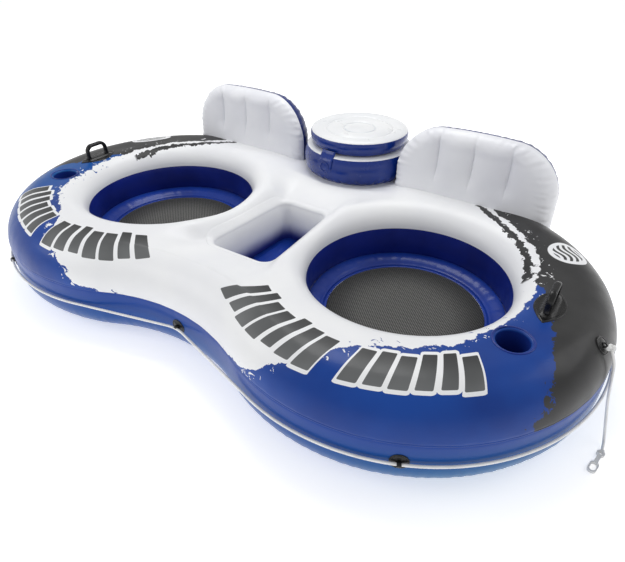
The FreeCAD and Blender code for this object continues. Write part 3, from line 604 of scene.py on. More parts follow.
def ripple(s, scales, seed):
    """Smooth, uneven wave along a length, from a few sines that never line up."""
    total = np.zeros_like(s)
    for i, scale in enumerate(scales):
        total += np.sin(2 * math.pi * s / scale + seed * 1.7 + i * 2.1) / (1 + 0.6 * i)
    return total / len(scales)


# ---------------------------------------------------------------- hull

def heading(x, y):
    return math.atan2(y, x)


def hull_outline(step=0.008):
    """The hull in plan, anticlockwise from the waist: points, outward normals and length along."""
    waist_y = SEAT.y - WAIST_REACH
    waist_r = (SEAT.x ** 2 + WAIST_REACH ** 2 - LOBE_R ** 2) / (2 * (LOBE_R - WAIST_REACH))
    waist = np.array([0.0, waist_y - waist_r])
    seat = np.array([SEAT.x, SEAT.y])
    cooler = np.array([0.0, COOLER.y])
    far = cooler - seat
    gap = np.linalg.norm(far)
    a, b = LOBE_R + REAR_FILLET, BULGE_R + REAR_FILLET
    along = (a * a - b * b + gap * gap) / (2 * gap)
    way = far / gap
    rear = seat + way * along + np.array([way[1], -way[0]]) * math.sqrt(a * a - along * along)
    legs = (
        (waist, waist_r, math.pi / 2, heading(*(seat - waist)), -1),
        (seat, LOBE_R, heading(*(waist - seat)), heading(*(rear - seat)), 1),
        (rear, REAR_FILLET, heading(*(seat - rear)), heading(*(cooler - rear)), -1),
        (cooler, BULGE_R, heading(*(rear - cooler)), math.pi / 2, 1),
    )
    points, normals = [], []
    for middle, radius, start, end, side in legs:
        if side > 0 and end < start:
            end += 2 * math.pi
        if side < 0 and end > start:
            end -= 2 * math.pi
        count = max(4, int(abs(end - start) * radius / step))
        for angle in np.linspace(start, end, count, endpoint=False):
            ray = np.array([math.cos(angle), math.sin(angle)])
            points.append(middle + ray * radius)
            normals.append(ray * side)
    points.append(np.array([0.0, COOLER.y + BULGE_R]))
    normals.append(np.array([0.0, 1.0]))
    mirror = np.array([-1.0, 1.0])
    points += [p * mirror for p in points[-2:0:-1]]
    normals += [n * mirror for n in normals[-2:0:-1]]
    points, normals = np.array(points), np.array(normals)
    steps = np.linalg.norm(np.roll(points, -1, 0) - points, axis=1)
    return points, normals, np.concatenate([[0], np.cumsum(steps)[:-1]])


OUTLINE, OUTWARD, LENGTH = hull_outline()


def tree_of(points):
    tree = KDTree(len(points))
    for i, p in enumerate(points):
        tree.insert((p[0], p[1], 0.0), i)
    tree.balance()
    return tree


OUTLINE_TREE = tree_of(OUTLINE)


def inset_of(x, y):
    """How far a point in plan lies inside the hull's outline."""
    index = OUTLINE_TREE.find((x, y, 0.0))[1]
    return -float(np.dot(np.array([x, y]) - OUTLINE[index], OUTWARD[index]))


def loop_well(offset, count_side=26, count_corner=9):
    """Storage well outline moved out by offset, anticlockwise."""
    front, back = WELL_LOW.y - 0.0003, WELL_HIGH.y + 0.0003
    taper = WELL_BACK_HALF - WELL_FRONT_HALF
    lean = math.atan2(-taper, back - front)
    middles = []
    for sx, sy in ((1, -1), (1, 1), (-1, 1), (-1, -1)):
        y = (front + WELL_CORNER) if sy < 0 else (back - WELL_CORNER)
        half = WELL_FRONT_HALF + taper * (y - front) / (back - front)
        middles.append((sx * (half - WELL_CORNER / math.cos(lean)), y))
    bounds = (-math.pi / 2, lean, math.pi / 2, math.pi - lean, 1.5 * math.pi)
    radius = WELL_CORNER + offset
    loop = []
    for i, (mx, my) in enumerate(middles):
        for angle in np.linspace(bounds[i], bounds[i + 1], count_corner):
            loop.append((mx + radius * math.cos(angle), my + radius * math.sin(angle)))
        nx, ny = middles[(i + 1) % 4]
        ahead = bounds[(i + 1) % 4]
        goal = np.array([nx + radius * math.cos(ahead), ny + radius * math.sin(ahead)])
        last = np.array(loop[-1])
        for share in np.linspace(0, 1, count_side + 1, endpoint=False)[1:]:
            loop.append(tuple(last + (goal - last) * share))
    return np.array(loop)


def loop_circle(x, y, radius, count):
    turns = turns_of(count)
    return np.stack([x + radius * np.cos(turns), y + radius * np.sin(turns)], 1)


def inside_loop(points, loop):
    """Which points lie inside a closed loop in plan."""
    x, y = points[:, 0:1], points[:, 1:2]
    x0, y0 = loop[:, 0], loop[:, 1]
    x1, y1 = np.roll(x0, -1), np.roll(y0, -1)
    crosses = ((y0 > y) != (y1 > y)) & (x < (x1 - x0) * (y - y0) / (y1 - y0 + 1e-15) + x0)
    return crosses.sum(1) % 2 == 1


def flat_fill(outer, holes, spacing):
    """Even triangles between an outer loop and its holes: points in plan and faces."""
    loops = [outer, *holes]
    low, high = outer.min(0), outer.max(0)
    tree = tree_of(np.concatenate(loops))
    grid = []
    rows = np.arange(low[1], high[1], spacing * 0.866)
    for k, y in enumerate(rows):
        for x in np.arange(low[0] + (k % 2) * spacing / 2, high[0], spacing):
            grid.append((x, y))
    grid = np.array(grid)
    keep = inside_loop(grid, outer)
    for hole in holes:
        keep &= ~inside_loop(grid, hole)
    grid = np.array([g for g in grid[keep] if tree.find((g[0], g[1], 0.0))[2] > spacing * 0.6])
    points = np.concatenate([*loops, grid])
    edges, first = [], 0
    for loop in loops:
        edges += [(first + i, first + (i + 1) % len(loop)) for i in range(len(loop))]
        first += len(loop)
    made = geometry.delaunay_2d_cdt([Vector(p) for p in points], edges, [], 0, 1e-7)
    points = np.array([tuple(p) for p in made[0]])
    faces = np.array(made[2])
    middles = points[faces].mean(1)
    keep = inside_loop(middles, outer)
    for hole in holes:
        keep &= ~inside_loop(middles, hole)
    return points, faces[keep].tolist()


def seat_radius(x, y):
    return math.hypot(abs(x) - SEAT.x, y - SEAT.y)


def well_dip(x, y):
    """How far the deck is drawn down to the weld round the storage well, and to the cooler."""
    ahead = max(0.0, y - WELL_HIGH.y, WELL_LOW.y - y)
    share = held((y - WELL_LOW.y) / (WELL_HIGH.y - WELL_LOW.y))
    aside = max(0.0, abs(x) - WELL_FRONT_HALF - (WELL_BACK_HALF - WELL_FRONT_HALF) * share)
    dip = WELL_DIP * math.exp(-(aside / (0.046 + 0.5 * ahead)) ** 2 - (ahead / 0.15) ** 2)
    past = max(0.0, math.hypot(x, y - COOLER.y) - COOLER_BASE_R)
    inward = held((seat_radius(x, y) - SEAT_R) / 0.020)
    return max(dip, COOLER_DIP * hill(past, 0.0, 0.09)) * inward


def deck_height(x, y):
    """Top of the hull in plan: rolled edges, a slight crown and dips beside the welds."""
    drop = well_dip(x, y) + edge_drop(TOP_ROUND, inset_of(x, y))
    drop += edge_drop(SEAT_TOP_ROLL, seat_radius(x, y) - SEAT_R)
    pinch = 0.007 * hill(math.hypot(x, y - COOLER.y), COOLER_BASE_R, 0.028)
    swell = 0.004 * hill(x, 0.0, 0.30) * noise.noise((x * 5.0, y * 5.0, 2.0))
    return DECK - drop - pinch + swell


def ring_rows(x, y, rows, count, wobble=None):
    """Rows of points round a vertical axis, one for each (radius, height)."""
    turns = turns_of(count)
    points = []
    for radius, z in rows:
        radii = radius + (wobble(turns, radius, z) if wobble else 0.0)
        points += list(zip(x + radii * np.cos(turns), y + radii * np.sin(turns), np.full(count, z)))
    return points


SEAM_STEPS = (0.016, 0.011, 0.0075, 0.005, 0.0034, 0.0020, 0.0009, 0.0)


def seam_rows(top, count_round=22):
    """(inset, height) rows of the outer edge, from the deck or the floor to the seam."""
    if top:
        start = math.asin(1 - DECK_EDGE / TOP_ROUND)
        turns = [t for t in np.linspace(start, math.pi / 2, count_round) if TOP_ROUND * math.cos(t) > 0.020]
        turns += [math.acos(step / TOP_ROUND) for step in SEAM_STEPS]
        return [(TOP_ROUND * (1 - math.sin(t)), SEAM + TOP_ROUND * math.cos(t)) for t in turns]
    rows = roll(BOTTOM_ROUND, count_round)
    rows += [(0.0, z) for z in np.linspace(BOTTOM_ROUND, SEAM - 0.021, 8)[1:]]
    return rows + [(0.0, SEAM - step) for step in SEAM_STEPS]


def edge_strip(rows, top):
    """Outer edge of the hull with its seam drawn in and faint puckers beside the seam."""
    points = []
    puckers = ripple(LENGTH, (0.083, 0.051, 0.137), 1.0)
    folds = ripple(LENGTH, (0.61, 0.27, 0.43), 4.0)
    fine = ripple(LENGTH, (0.029, 0.041, 0.067), 7.0)
    for inset, z in rows:
        weld = 0.0015 * hill(z, SEAM, 0.0018) - 0.0018 * hill(z, SEAM, 0.0050)
        beside = 0.0007 * hill(z, SEAM, 0.030)
        low = 0.0 if top else 0.0016 * hill(z, 0.045, 0.030)
        push = weld + beside * puckers + 0.0011 * folds + low * fine
        plan = OUTLINE + OUTWARD * (push - inset)[:, None] if inset < 0.11 else OUTLINE - OUTWARD * inset
        points += [(px, py, z) for px, py in plan]
    return points


def circles(middle, radius, count):
    """The same circle on each side of the float."""
    return [loop_circle(sign * middle.x, middle.y, radius, count) for _, sign in SIDES]


def hull_top():
    count = len(OUTLINE)
    rows = seam_rows(True)
    outer = edge_strip(rows, True)
    deck_edge = np.array([p[:2] for p in outer[:count]])
    holes = circles(SEAT, SEAT_R + SEAT_RING, SEAT_COUNT) + circles(CUP, CUP_R + CUP_ROLL, CUP_COUNT)
    holes += [loop_well(WELL_RIM[0][0]), loop_circle(0.0, COOLER.y, COOLER_HOLE, 96)]
    plan, faces = flat_fill(deck_edge, holes, 0.0105)
    points = [(x, y, deck_height(x, y)) for x, y in plan]

    def add(block, rows_in, n):
        faces.extend(strip(rows_in, n, len(points)))
        points.extend(block)

    first_row = [(x, y, deck_height(x, y)) for x, y in deck_edge]
    add(first_row + outer[count:], len(rows), count)

    start = math.asin(1 - SEAT_RING / SEAT_TOP_ROLL)
    seat_rows = [(SEAT_R + inset, DECK - drop) for inset, drop in roll(SEAT_TOP_ROLL, 14, start)]
    for _, sign in SIDES:
        ring = ring_rows(sign * SEAT.x, SEAT.y, seat_rows, SEAT_COUNT)
        ring = [(x, y, deck_height(x, y) if i < SEAT_COUNT else z - well_dip(x, y))
                for i, (x, y, z) in enumerate(ring)]
        add(ring, len(seat_rows), SEAT_COUNT)

    cup_rows = [(CUP_R + inset, drop) for inset, drop in roll(CUP_ROLL, 6)]
    for _, sign in SIDES:
        ring = ring_rows(sign * CUP.x, CUP.y, cup_rows, CUP_COUNT)
        add([(x, y, deck_height(x, y) - drop) for x, y, drop in ring], len(cup_rows), CUP_COUNT)

    well_rows = [*WELL_RIM, *roll(WELL_ROLL, 8)]
    block = [(x, y, deck_height(x, y) - drop) for offset, drop in well_rows for x, y in loop_well(offset)]
    add(block, len(well_rows), len(loop_well(0.0)))
    return piece("hull_top", points, faces, "deck_print", "float", ("hull_top_sheet",))


def hull_lower():
    count = len(OUTLINE)
    rows = seam_rows(False)
    outer = edge_strip(rows, False)
    floor_edge = np.array([p[:2] for p in outer[:count]])
    plan, faces = flat_fill(floor_edge, circles(SEAT, SEAT_R + SEAT_LOW_ROLL, SEAT_COUNT), 0.018)
    points = [(x, y, 0.0) for x, y in plan]
    faces.extend(strip(len(rows), count, len(points)))
    points.extend(outer)
    seat_rows = [(SEAT_R + inset, drop) for inset, drop in roll(SEAT_LOW_ROLL, 12)]
    for _, sign in SIDES:
        faces.extend(strip(len(seat_rows), SEAT_COUNT, len(points)))
        points.extend(ring_rows(sign * SEAT.x, SEAT.y, seat_rows, SEAT_COUNT))
    return piece("hull_lower", points, faces, "hull_blue", "float", ("hull_bottom_sheet",))


hull_top()
hull_lower()


# ---------------------------------------------------------------- seats

def fine_ripple(turns, counts, seed):
    """Uneven ripple round a circle, the same at both ends of the turn."""
    total = sum(np.sin(count * turns + seed + 1.9 * i) / (1 + 0.5 * i) for i, count in enumerate(counts))
    return total / len(counts)


def revolved(name, x, y, rows, slot, body, replaces=(), count=192, wobble=None, thick=0.0, cap=False):
    """Film that goes round an upright axis; cap closes the last row with a point on the axis."""
    points = ring_rows(x, y, rows, count, wobble)
    faces = strip(len(rows), count)
    if cap:
        first = (len(rows) - 1) * count
        points.append((x, y, rows[-1][1]))
        faces += [(first + i, first + (i + 1) % count, len(points) - 1) for i in range(count)]
    return piece(name, points, faces, slot, body, replaces, thick)


def make_seats():
    joint_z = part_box("seat_flange_right")[1].z
    hem_r = MESH_R + 0.012
    for side, sign in SIDES:
        x = sign * SEAT.x
        wall = []
        for z in np.linspace(WALL_TOP, joint_z, 13):
            share = (WALL_TOP - z) / (WALL_TOP - joint_z)
            wall.append((SEAT_R - 0.0065 * math.sin(math.pi * share) ** 0.8, z))
        wall += [(SEAT_R - 0.0004, joint_z - 0.004), (SEAT_R + 0.001, 0.5 * (joint_z + WALL_LOW)),
                 (SEAT_R, WALL_LOW)]

        def wall_wobble(turns, radius, z):
            near = hill(z, joint_z, 0.014) * 0.0010 + hill(z, WALL_TOP, 0.010) * 0.0004
            return near * fine_ripple(turns, (57, 83, 31), sign)

        revolved("seat_wall_%s_film" % side, x, SEAT.y, wall, "seat_navy", "float",
                 ("seat_wall_" + side,), SEAT_COUNT, wall_wobble)

        flange = []
        for share in np.linspace(0, 1, 15):
            radius = SEAT_R - 0.001 + (hem_r - SEAT_R) * share
            crown = 0.0052 * math.sin(math.pi * share)
            weld = 0.0016 * hill(share, 0.86, 0.04)
            flange.append((radius, joint_z + (MESH_Z + 0.0015 - joint_z) * share + crown - weld))
        made = revolved("seat_flange_%s_film" % side, x, SEAT.y, flange, "flange_blue", "float",
                        ("seat_flange_" + side,), SEAT_COUNT, None, 0.0016)
        turns = np.array([math.atan2(v.co.y - SEAT.y, v.co.x - x) for v in made.data.vertices])
        reach = np.array([math.hypot(v.co.x - x, v.co.y - SEAT.y) for v in made.data.vertices])
        middle = np.sin(np.pi * np.clip((SEAT_R - reach) / (SEAT_R - hem_r), 0, 1))
        lift = fine_ripple(turns, (41, 64, 97), 2.0 * sign) * 0.0013 * middle
        for vertex, up in zip(made.data.vertices, lift):
            vertex.co.z += up

        hem = []
        for turn in np.linspace(0, 2 * math.pi, 13):
            hem.append((MESH_R + 0.0062 + 0.0066 * math.cos(turn), MESH_Z + 0.0004 + 0.0022 * math.sin(turn)))
        binding = revolved("mesh_hem_%s_binding" % side, x, SEAT.y, hem, "flange_blue", "float",
                           ("mesh_hem_" + side,), SEAT_COUNT)

        floor_rows = []
        for share in np.linspace(1, 0.02, 26):
            floor_rows.append((MESH_R * share, MESH_Z - 0.001 - 0.011 * (1 - share ** 2)))
        floor = revolved("seat_mesh_%s_cloth" % side, x, SEAT.y, floor_rows, "seat_mesh", "float",
                         ("seat_mesh_" + side,), 144, None, 0.0012, True)


make_seats()


# ---------------------------------------------------------------- storage well and cup wells

def make_storage_well():
    floor_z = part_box("storage_floor")[1].z
    rows = 17
    count = len(loop_well(0.0))
    tops = [deck_height(x, y) - WELL_ROLL for x, y in loop_well(0.0)]
    points = []
    for share in np.linspace(0, 1, rows):
        bulge = 0.013 * math.sin(math.pi * share) ** 0.8
        for i, (x, y) in enumerate(loop_well(-bulge)):
            crease = 0.0012 * math.sin(i * 0.9) * share ** 3
            points.append((x, y + crease, tops[i] + (floor_z - tops[i]) * share))
    piece("storage_wall_film", points, strip(rows, count), "white_film", "float", ("storage_wall",))
    plan, faces = flat_fill(loop_well(-0.0002), [], 0.0095)
    points = []
    for x, y in plan:
        swell = noise.noise((x * 30.0, y * 7.0, 5.0)) * 0.0060
        swell += noise.noise((x * 60.0, y * 18.0, 8.0)) * 0.0020
        points.append((x, y, floor_z + 0.0020 + swell))
    piece("storage_floor_film", points, faces, "flange_blue", "float", ("storage_floor",))


def floor_height(x, y):
    """Underside of the hull in plan, with its rolled outer edge."""
    return edge_drop(BOTTOM_ROUND, inset_of(x, y))


def upright_film(line, steps=40):
    """Points and faces of an upright film inside the hull, between the deck and the floor."""
    (x0, y0), (x1, y1) = line
    points = []
    for share in np.linspace(0, 1, steps):
        x, y = x0 + (x1 - x0) * share, y0 + (y1 - y0) * share
        low, high = floor_height(x, y) + 0.006, deck_height(x, y) - 0.006
        points += [(x, y, low + (high - low) * up) for up in np.linspace(0, 1, 5)]
    return points, strip(steps, 5, closed=False)


def make_inner_films():
    """The film on the centre line that parts the two air chambers, and the webs beside the storage well."""
    waist = SEAT.y - WAIST_REACH + 0.012
    divider = [((0, waist), (0, WELL_LOW.y - 0.008)),
               ((0, WELL_HIGH.y + 0.008), (0, COOLER.y - LINER_R - 0.008)),
               ((0, COOLER.y + LINER_R + 0.008), (0, COOLER.y + BULGE_R - 0.012))]
    webs = []
    for y in (WELL_LOW.y - 0.070, WELL_HIGH.y + 0.060):
        webs += [((-0.150, y), (-0.020, y)), ((0.020, y), (0.150, y))]
    for name, lines, node in (("chamber_divider_film", divider, "chamber_dividers"),
                              ("console_web_film", webs, "console_webs")):
        piece(name, *merged(upright_film(line) for line in lines), "inner_film", "float", (node,), FILM)


def make_cups():
    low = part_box("cup_well_right")[0].z + 0.002
    rows = []
    top = DECK - CUP_ROLL
    for z in np.linspace(top, low + 0.012, 10):
        rows.append((CUP_R - 0.0016 * math.sin(math.pi * (top - z) / (top - low)), z))
    for turn in np.linspace(0, math.pi / 2, 6)[1:]:
        rows.append((CUP_R - 0.012 * (1 - math.cos(turn)), low + 0.012 * (1 - math.sin(turn))))
    rows += [(CUP_R * 0.6, low + 0.0012), (CUP_R * 0.25, low)]
    lip = []
    for turn in np.linspace(0, 2 * math.pi, 11):
        lip.append((CUP_R + CUP_ROLL + 0.0022 + 0.0030 * math.cos(turn),
                    DECK + 0.0004 + 0.0016 * math.sin(turn)))
    for side, sign in SIDES:
        revolved("cup_%s_film" % side, sign * CUP.x, CUP.y, rows, "cup_blue", "float",
                 ("cup_well_" + side,), CUP_COUNT, cap=True)
        revolved("cup_%s_weld" % side, sign * CUP.x, CUP.y, lip, "cup_blue", "float", (), CUP_COUNT)


make_storage_well()
make_inner_films()
make_cups()


# ---------------------------------------------------------------- cooler

def smooth_rows(corners, count):
    """Rows along a smooth line through (radius, height) corners."""
    corners = np.array(corners, float)
    closed = np.concatenate([[2 * corners[0] - corners[1]], corners, [2 * corners[-1] - corners[-2]]])
    rows = []
    for t in np.linspace(0, len(corners) - 1 - 1e-9, count):
        i, u = int(t), t - int(t)
        a, b, c, d = closed[i:i + 4]
        rows.append(tuple(0.5 * ((2 * b) + (c - a) * u + (2 * a - 5 * b + 4 * c - d) * u ** 2
                                 + (3 * b - a - 3 * c + d) * u ** 3)))
    return rows


def on_cooler(name, rows, slot, body, replaces, count=COOLER_COUNT, wobble=None, cap=False):
    """A film that goes round the cooler's axis."""
    return revolved(name, 0.0, COOLER.y, rows, slot, body, replaces, count, wobble, cap=cap)


def make_cooler():
    seam_z = RING_TOP - 0.0065
    base = DECK - COOLER_DIP
    side = smooth_rows(((RING_R - 0.028, base - 0.012), (RING_R - 0.013, base + 0.001),
                        (RING_R - 0.002, base + 0.016), (RING_R + 0.0030, base + 0.040),
                        (RING_R + 0.0034, base + 0.060), (RING_R - 0.0005, base + 0.084),
                        (RING_R - 0.0085, seam_z)), 30)
    top = smooth_rows(((RING_R - 0.0085, seam_z), (RING_R - 0.016, seam_z + 0.0040),
                       (RING_R - 0.034, RING_TOP + 0.0004), (RING_R - 0.062, RING_TOP - 0.0002),
                       (RING_R - 0.088, RING_TOP - 0.004), (LINER_R + 0.0055, RING_TOP - 0.012),
                       (LINER_R + 0.001, RING_TOP - 0.024)), 22)

    valve = centre("cooler_valve_base")
    valve_turn = math.atan2(valve.y - COOLER.y, valve.x)

    def base_wrinkles(turns, radius, z):
        """Puckers at the ring's foot and seam, and a flat place under the valve."""
        flat = np.exp(-((turns - valve_turn) * RING_R / 0.028) ** 4) * math.exp(-((z - valve.z) / 0.028) ** 4)
        low = 0.0062 * hill(z, base + 0.008, 0.0125)
        high = 0.0009 * hill(z, seam_z, 0.008)
        deep = fine_ripple(turns, (38, 57, 23), 0.7)
        shallow = fine_ripple(turns, (71, 103, 44), 2.2)
        return low * (deep - 0.35 * np.abs(deep)) + high * shallow - 0.0040 * flat

    on_cooler("cooler_ring_film", side, "cooler_blue", "float", ("cooler_ring_side",), wobble=base_wrinkles)
    on_cooler("cooler_ring_top_film", top, "cooler_white", "float", ("cooler_ring_top",),
              wobble=base_wrinkles)
    liner = [(LINER_R + 0.0012, RING_TOP - 0.020)]
    for share in np.linspace(0, 1, 15)[1:]:
        liner.append((LINER_R + 0.0002 - 0.002 * math.sin(math.pi * share),
                      RING_TOP - 0.020 + (LINER_Z + 0.02 - RING_TOP) * share))
    liner += [(LINER_R - 0.004, LINER_Z + 0.0007), (LINER_R * 0.6, LINER_Z), (LINER_R * 0.2, LINER_Z)]
    on_cooler("cooler_liner_film", liner, "cooler_white", "float",
              ("cooler_liner_wall", "cooler_liner_floor"), 160, cap=True)


def lid_height(radius):
    """Crowned top of the lid: an outer ring, a middle ring and a round centre."""
    edges = (LID_EDGE, *LID_GROOVES, 0.0)
    crowns = (LID_TOP + 0.0065, LID_TOP + 0.0055, LID_TOP + 0.0050)
    grooves = (LID_SEAM, LID_TOP - 0.0060, LID_TOP - 0.0060)
    k = next(k for k in range(3) if radius >= edges[k + 1] - 1e-9)
    share = (edges[k] - radius) / (edges[k] - edges[k + 1])
    if k == 2:
        return grooves[2] + (crowns[2] - grooves[2]) * math.sin(min(1.0, share * 1.35) * math.pi / 2) ** 0.75
    base = grooves[k] + (grooves[k + 1] - grooves[k]) * share
    return base + (crowns[k] - base) * math.sin(math.pi * share) ** 0.62


def make_lid():
    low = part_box("lid_bottom_panel")[0].z
    shares = (1 - np.cos(np.linspace(0, math.pi, 17))) / 2
    top = []
    for start, end in ((LID_EDGE, LID_GROOVES[0]), LID_GROOVES, (LID_GROOVES[1], 0.004)):
        radii = [start + (end - start) * share for share in shares[:-1]]
        top += [(radius, lid_height(radius)) for radius in radii]
    top.append((0.004, lid_height(0.004)))
    side = smooth_rows(((LID_EDGE, LID_SEAM), (LID_R + 0.0018, LID_SEAM - 0.008),
                        (LID_R + 0.0022, LID_SEAM - 0.022), (LID_R - 0.0015, LID_SEAM - 0.036),
                        (LID_R - 0.008, low + 0.0080), (LID_R - 0.020, low + 0.0012)), 22)
    bottom = [(LID_R - 0.020, low + 0.0012), (LID_R - 0.05, low), (LID_R - 0.078, low + 0.0006),
              (LINER_R - 0.006, low - 0.004), (LINER_R * 0.6, low - 0.0052), (LINER_R * 0.1, low - 0.0056)]

    def puckers(turns, radius, z):
        near = 0.0011 * hill(z, LID_SEAM, 0.006) * held((radius - 0.18) / 0.02)
        uneven = 0.0008 * fine_ripple(turns, (5, 9, 3), 0.4) if radius > 0.19 else 0.0
        return near * fine_ripple(turns, (64, 91, 37), 1.1) + uneven

    on_cooler("lid_top_film", top, "cooler_white", "cooler_lid", ("lid_top_panel",), wobble=puckers, cap=True)
    on_cooler("lid_side_film", side, "cooler_blue", "cooler_lid", ("lid_side_band",), wobble=puckers)
    on_cooler("lid_bottom_film", bottom, "cooler_blue", "cooler_lid", ("lid_bottom_panel",), 160, cap=True)


def make_strap():
    """Film hinge behind the lid, in one piece from the ring to the lid."""
    line = smooth_rows(((RING_R + 0.0032, 0.352), (RING_R + 0.0034, 0.372), (RING_R + 0.0015, 0.388),
                        (RING_R - 0.006, 0.400), (RING_R - 0.0135, 0.409), (LID_R + 0.0078, 0.417),
                        (LID_R + 0.0040, 0.427), (LID_R + 0.0034, 0.440), (LID_R + 0.0034, 0.458)), 30)
    half, columns = math.radians(13.0), 22
    points = []
    for radius, z in line:
        for turn in np.linspace(math.pi / 2 - half, math.pi / 2 + half, columns):
            points.append((radius * math.cos(turn), COOLER.y + radius * math.sin(turn), z))
    strap = piece("lid_strap_film", points, strip(len(line), columns, closed=False), "cooler_blue", None,
                  ("lid_strap_lower", "lid_strap_upper"), 0.0015)
    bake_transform(strap)


def make_tab():
    """Pull tab: a strip that leaves the lid and lies over the ring, round-ended, with a raised ring."""
    angle = math.radians(-96.0)
    out = Vector((math.cos(angle), math.sin(angle), 0))
    across = Vector((-out.y, out.x, 0))
    middle = Vector((0, COOLER.y, 0))
    line = smooth_rows(((LID_R + 0.0030, 0.428), (LID_R + 0.0085, 0.417), (RING_R - 0.0075, 0.406),
                        (RING_R + 0.0010, 0.394), (RING_R + 0.0052, 0.378), (RING_R + 0.0066, 0.360),
                        (RING_R + 0.0050, 0.3395)), 40)
    line = [Vector((r, z)) for r, z in line]
    along = np.concatenate([[0], np.cumsum([(b - a).length for a, b in zip(line, line[1:])])])
    half, columns = half_width("lid_tab"), 33

    def bent(reach, sideways):
        """A place in plan that far out and to the side, bent round the ring."""
        return middle + out * (reach - sideways ** 2 / (2 * RING_R)) + across * sideways

    points = []
    for (radius, z), s in zip(line, along):
        left = along[-1] - s
        width = half * math.sqrt(max(0.0, 1 - max(0.0, 1 - left / half) ** 2)) + 0.0002
        for share in np.linspace(-1, 1, columns):
            drop = -0.0016 * abs(share) ** 3 + 0.0011 * hill(abs(share), 0.80, 0.07)
            here = bent(radius + drop, share * width)
            points.append((here.x, here.y, z))
    tab = piece("lid_tab_strip", points, strip(len(line), columns, closed=False), "cooler_blue", "lid_tab",
                ("lid_tab",))
    film = tab.modifiers.new("film", "SOLIDIFY")
    film.thickness, film.offset = 0.0026, 0.0
    soft = tab.modifiers.new("soft", "BEVEL")
    soft.width, soft.segments, soft.limit_method = 0.0006, 2, "ANGLE"

    points = []
    for big in turns_of(56):
        for small in turns_of(10):
            reach = 0.0205 + 0.0026 * math.cos(small)
            here = bent(RING_R + 0.0080 + 0.0018 * math.sin(small), reach * math.cos(big))
            points.append((here.x, here.y, 0.366 + reach * math.sin(big)))
    piece("lid_tab_ring", points, strip(56, 10, joined=True), "cooler_blue", "lid_tab", ("lid_tab_button",))


make_cooler()
make_lid()
make_strap()
make_tab()


# ---------------------------------------------------------------- backrests

def back_crest(x):
    """Height of the backrest's arched top edge, before its corners are rounded."""
    return BACK_TOP - BACK_ARCH * (x / BACK_HALF) ** 2


def back_inset(x, z):
    """How far a place on the backrest lies inside its outline."""
    past_x, past_z = abs(x) - (BACK_HALF - BACK_CORNER), z - (back_crest(x) - BACK_CORNER)
    if past_x > 0 and past_z > 0:
        return BACK_CORNER - math.hypot(past_x, past_z)
    return min(BACK_HALF - abs(x), back_crest(x) - z)


def back_rim(x):
    """Height of the outline above a place across the backrest."""
    past = max(0.0, abs(x) - (BACK_HALF - BACK_CORNER))
    return back_crest(x) - BACK_CORNER + math.sqrt(max(0.0, BACK_CORNER ** 2 - past ** 2))


def back_surface(x, z, front, seed):
    """How far the panel stands from the middle plane, towards the front when negative; x is outward."""
    inset = max(0.0, back_inset(x, z))
    full = math.sqrt(max(0.0, 1 - max(0.0, 1 - inset / EDGE_ROUND) ** 2))
    inner_side = held((-x / BACK_HALF - 0.45) / 0.5)
    upper = held((z - 0.50) / 0.07)
    seam = (-0.026 * inner_side ** 1.5 - 0.006 * upper) * (1 - full)
    body = (BACK_DEEP - 0.002) * full * (0.90 + 0.10 * math.cos(x / BACK_HALF * math.pi / 2))
    around = math.atan2(z - 0.36, x) * 0.30 + 0.25 * x
    wave = float(ripple(np.array([around]), (0.026, 0.041, 0.0175), seed)[0])
    sides = min(1.0, max(0.0, abs(x) / BACK_HALF - 0.40) / 0.35 + max(0.0, (z - 0.52) / 0.05))
    body += 0.0095 * wave * sides * math.exp(-(inset / 0.030) ** 1.3) * min(1.0, inset / 0.0030)
    if not front:
        return seam + max(body, 0.0)
    body += 0.016 * full * held((0.50 - z) / 0.18)
    window = 1 / (1 + math.exp(-(z - 0.388) / 0.011)) / (1 + math.exp((z - 0.532) / 0.011))
    for groove in GROOVES:
        near = abs(x - groove)
        body -= (0.0105 * math.exp(-near / 0.0042) + 0.0095 * hill(near, 0.0, 0.034)) * window
    return seam - max(body, 0.0)


def back_foot(x, y):
    """Where the backrest meets the hull at a place in plan."""
    if inset_of(x, y) <= 0.001:
        return BACK_FOOT
    return max(BACK_FOOT, deck_height(x, y) - 0.0015)


def make_backrests():
    rows = 60
    shares = np.sin(np.linspace(0, math.pi / 2, rows)) ** 0.9
    xs = np.sin(np.linspace(-math.pi / 2, math.pi / 2, 97))
    steps = (-0.006, -0.003, -0.001, 0.001, 0.003, 0.006)
    beside = [(groove + step) / BACK_HALF for groove in GROOVES for step in steps]
    xs = np.unique(np.concatenate([[x for x in xs if min(abs(x - b) for b in beside) > 0.006], beside]))
    columns = len(xs)
    for side, mirror in SIDES:
        for name, front, slot in (("front", True, "backrest_white"), ("rear", False, "backrest_navy")):
            feet = []
            for x in xs:
                y = 0.0 if abs(x) > 0.9999 else back_surface(x * BACK_HALF, 0.34, front, mirror)
                feet.append(back_foot(BACK_MIDDLE.x + x * BACK_HALF, BACK_MIDDLE.y + y))
            points = []
            for share in shares:
                for x, foot in zip(xs, feet):
                    out_x = x * BACK_HALF
                    z = foot + (back_rim(out_x) - foot) * share
                    y = back_surface(out_x, z, front, 2.0 + mirror)
                    points.append((mirror * (BACK_MIDDLE.x + out_x), BACK_MIDDLE.y + y, z))
            node = "backrest_%s_%s" % (name, side)
            made = piece(node + "_panel", points, strip(rows, columns, closed=False), slot, None, (node,))
            x, y = mirror * BACK_MIDDLE.x, BACK_MIDDLE.y
            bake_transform(made)


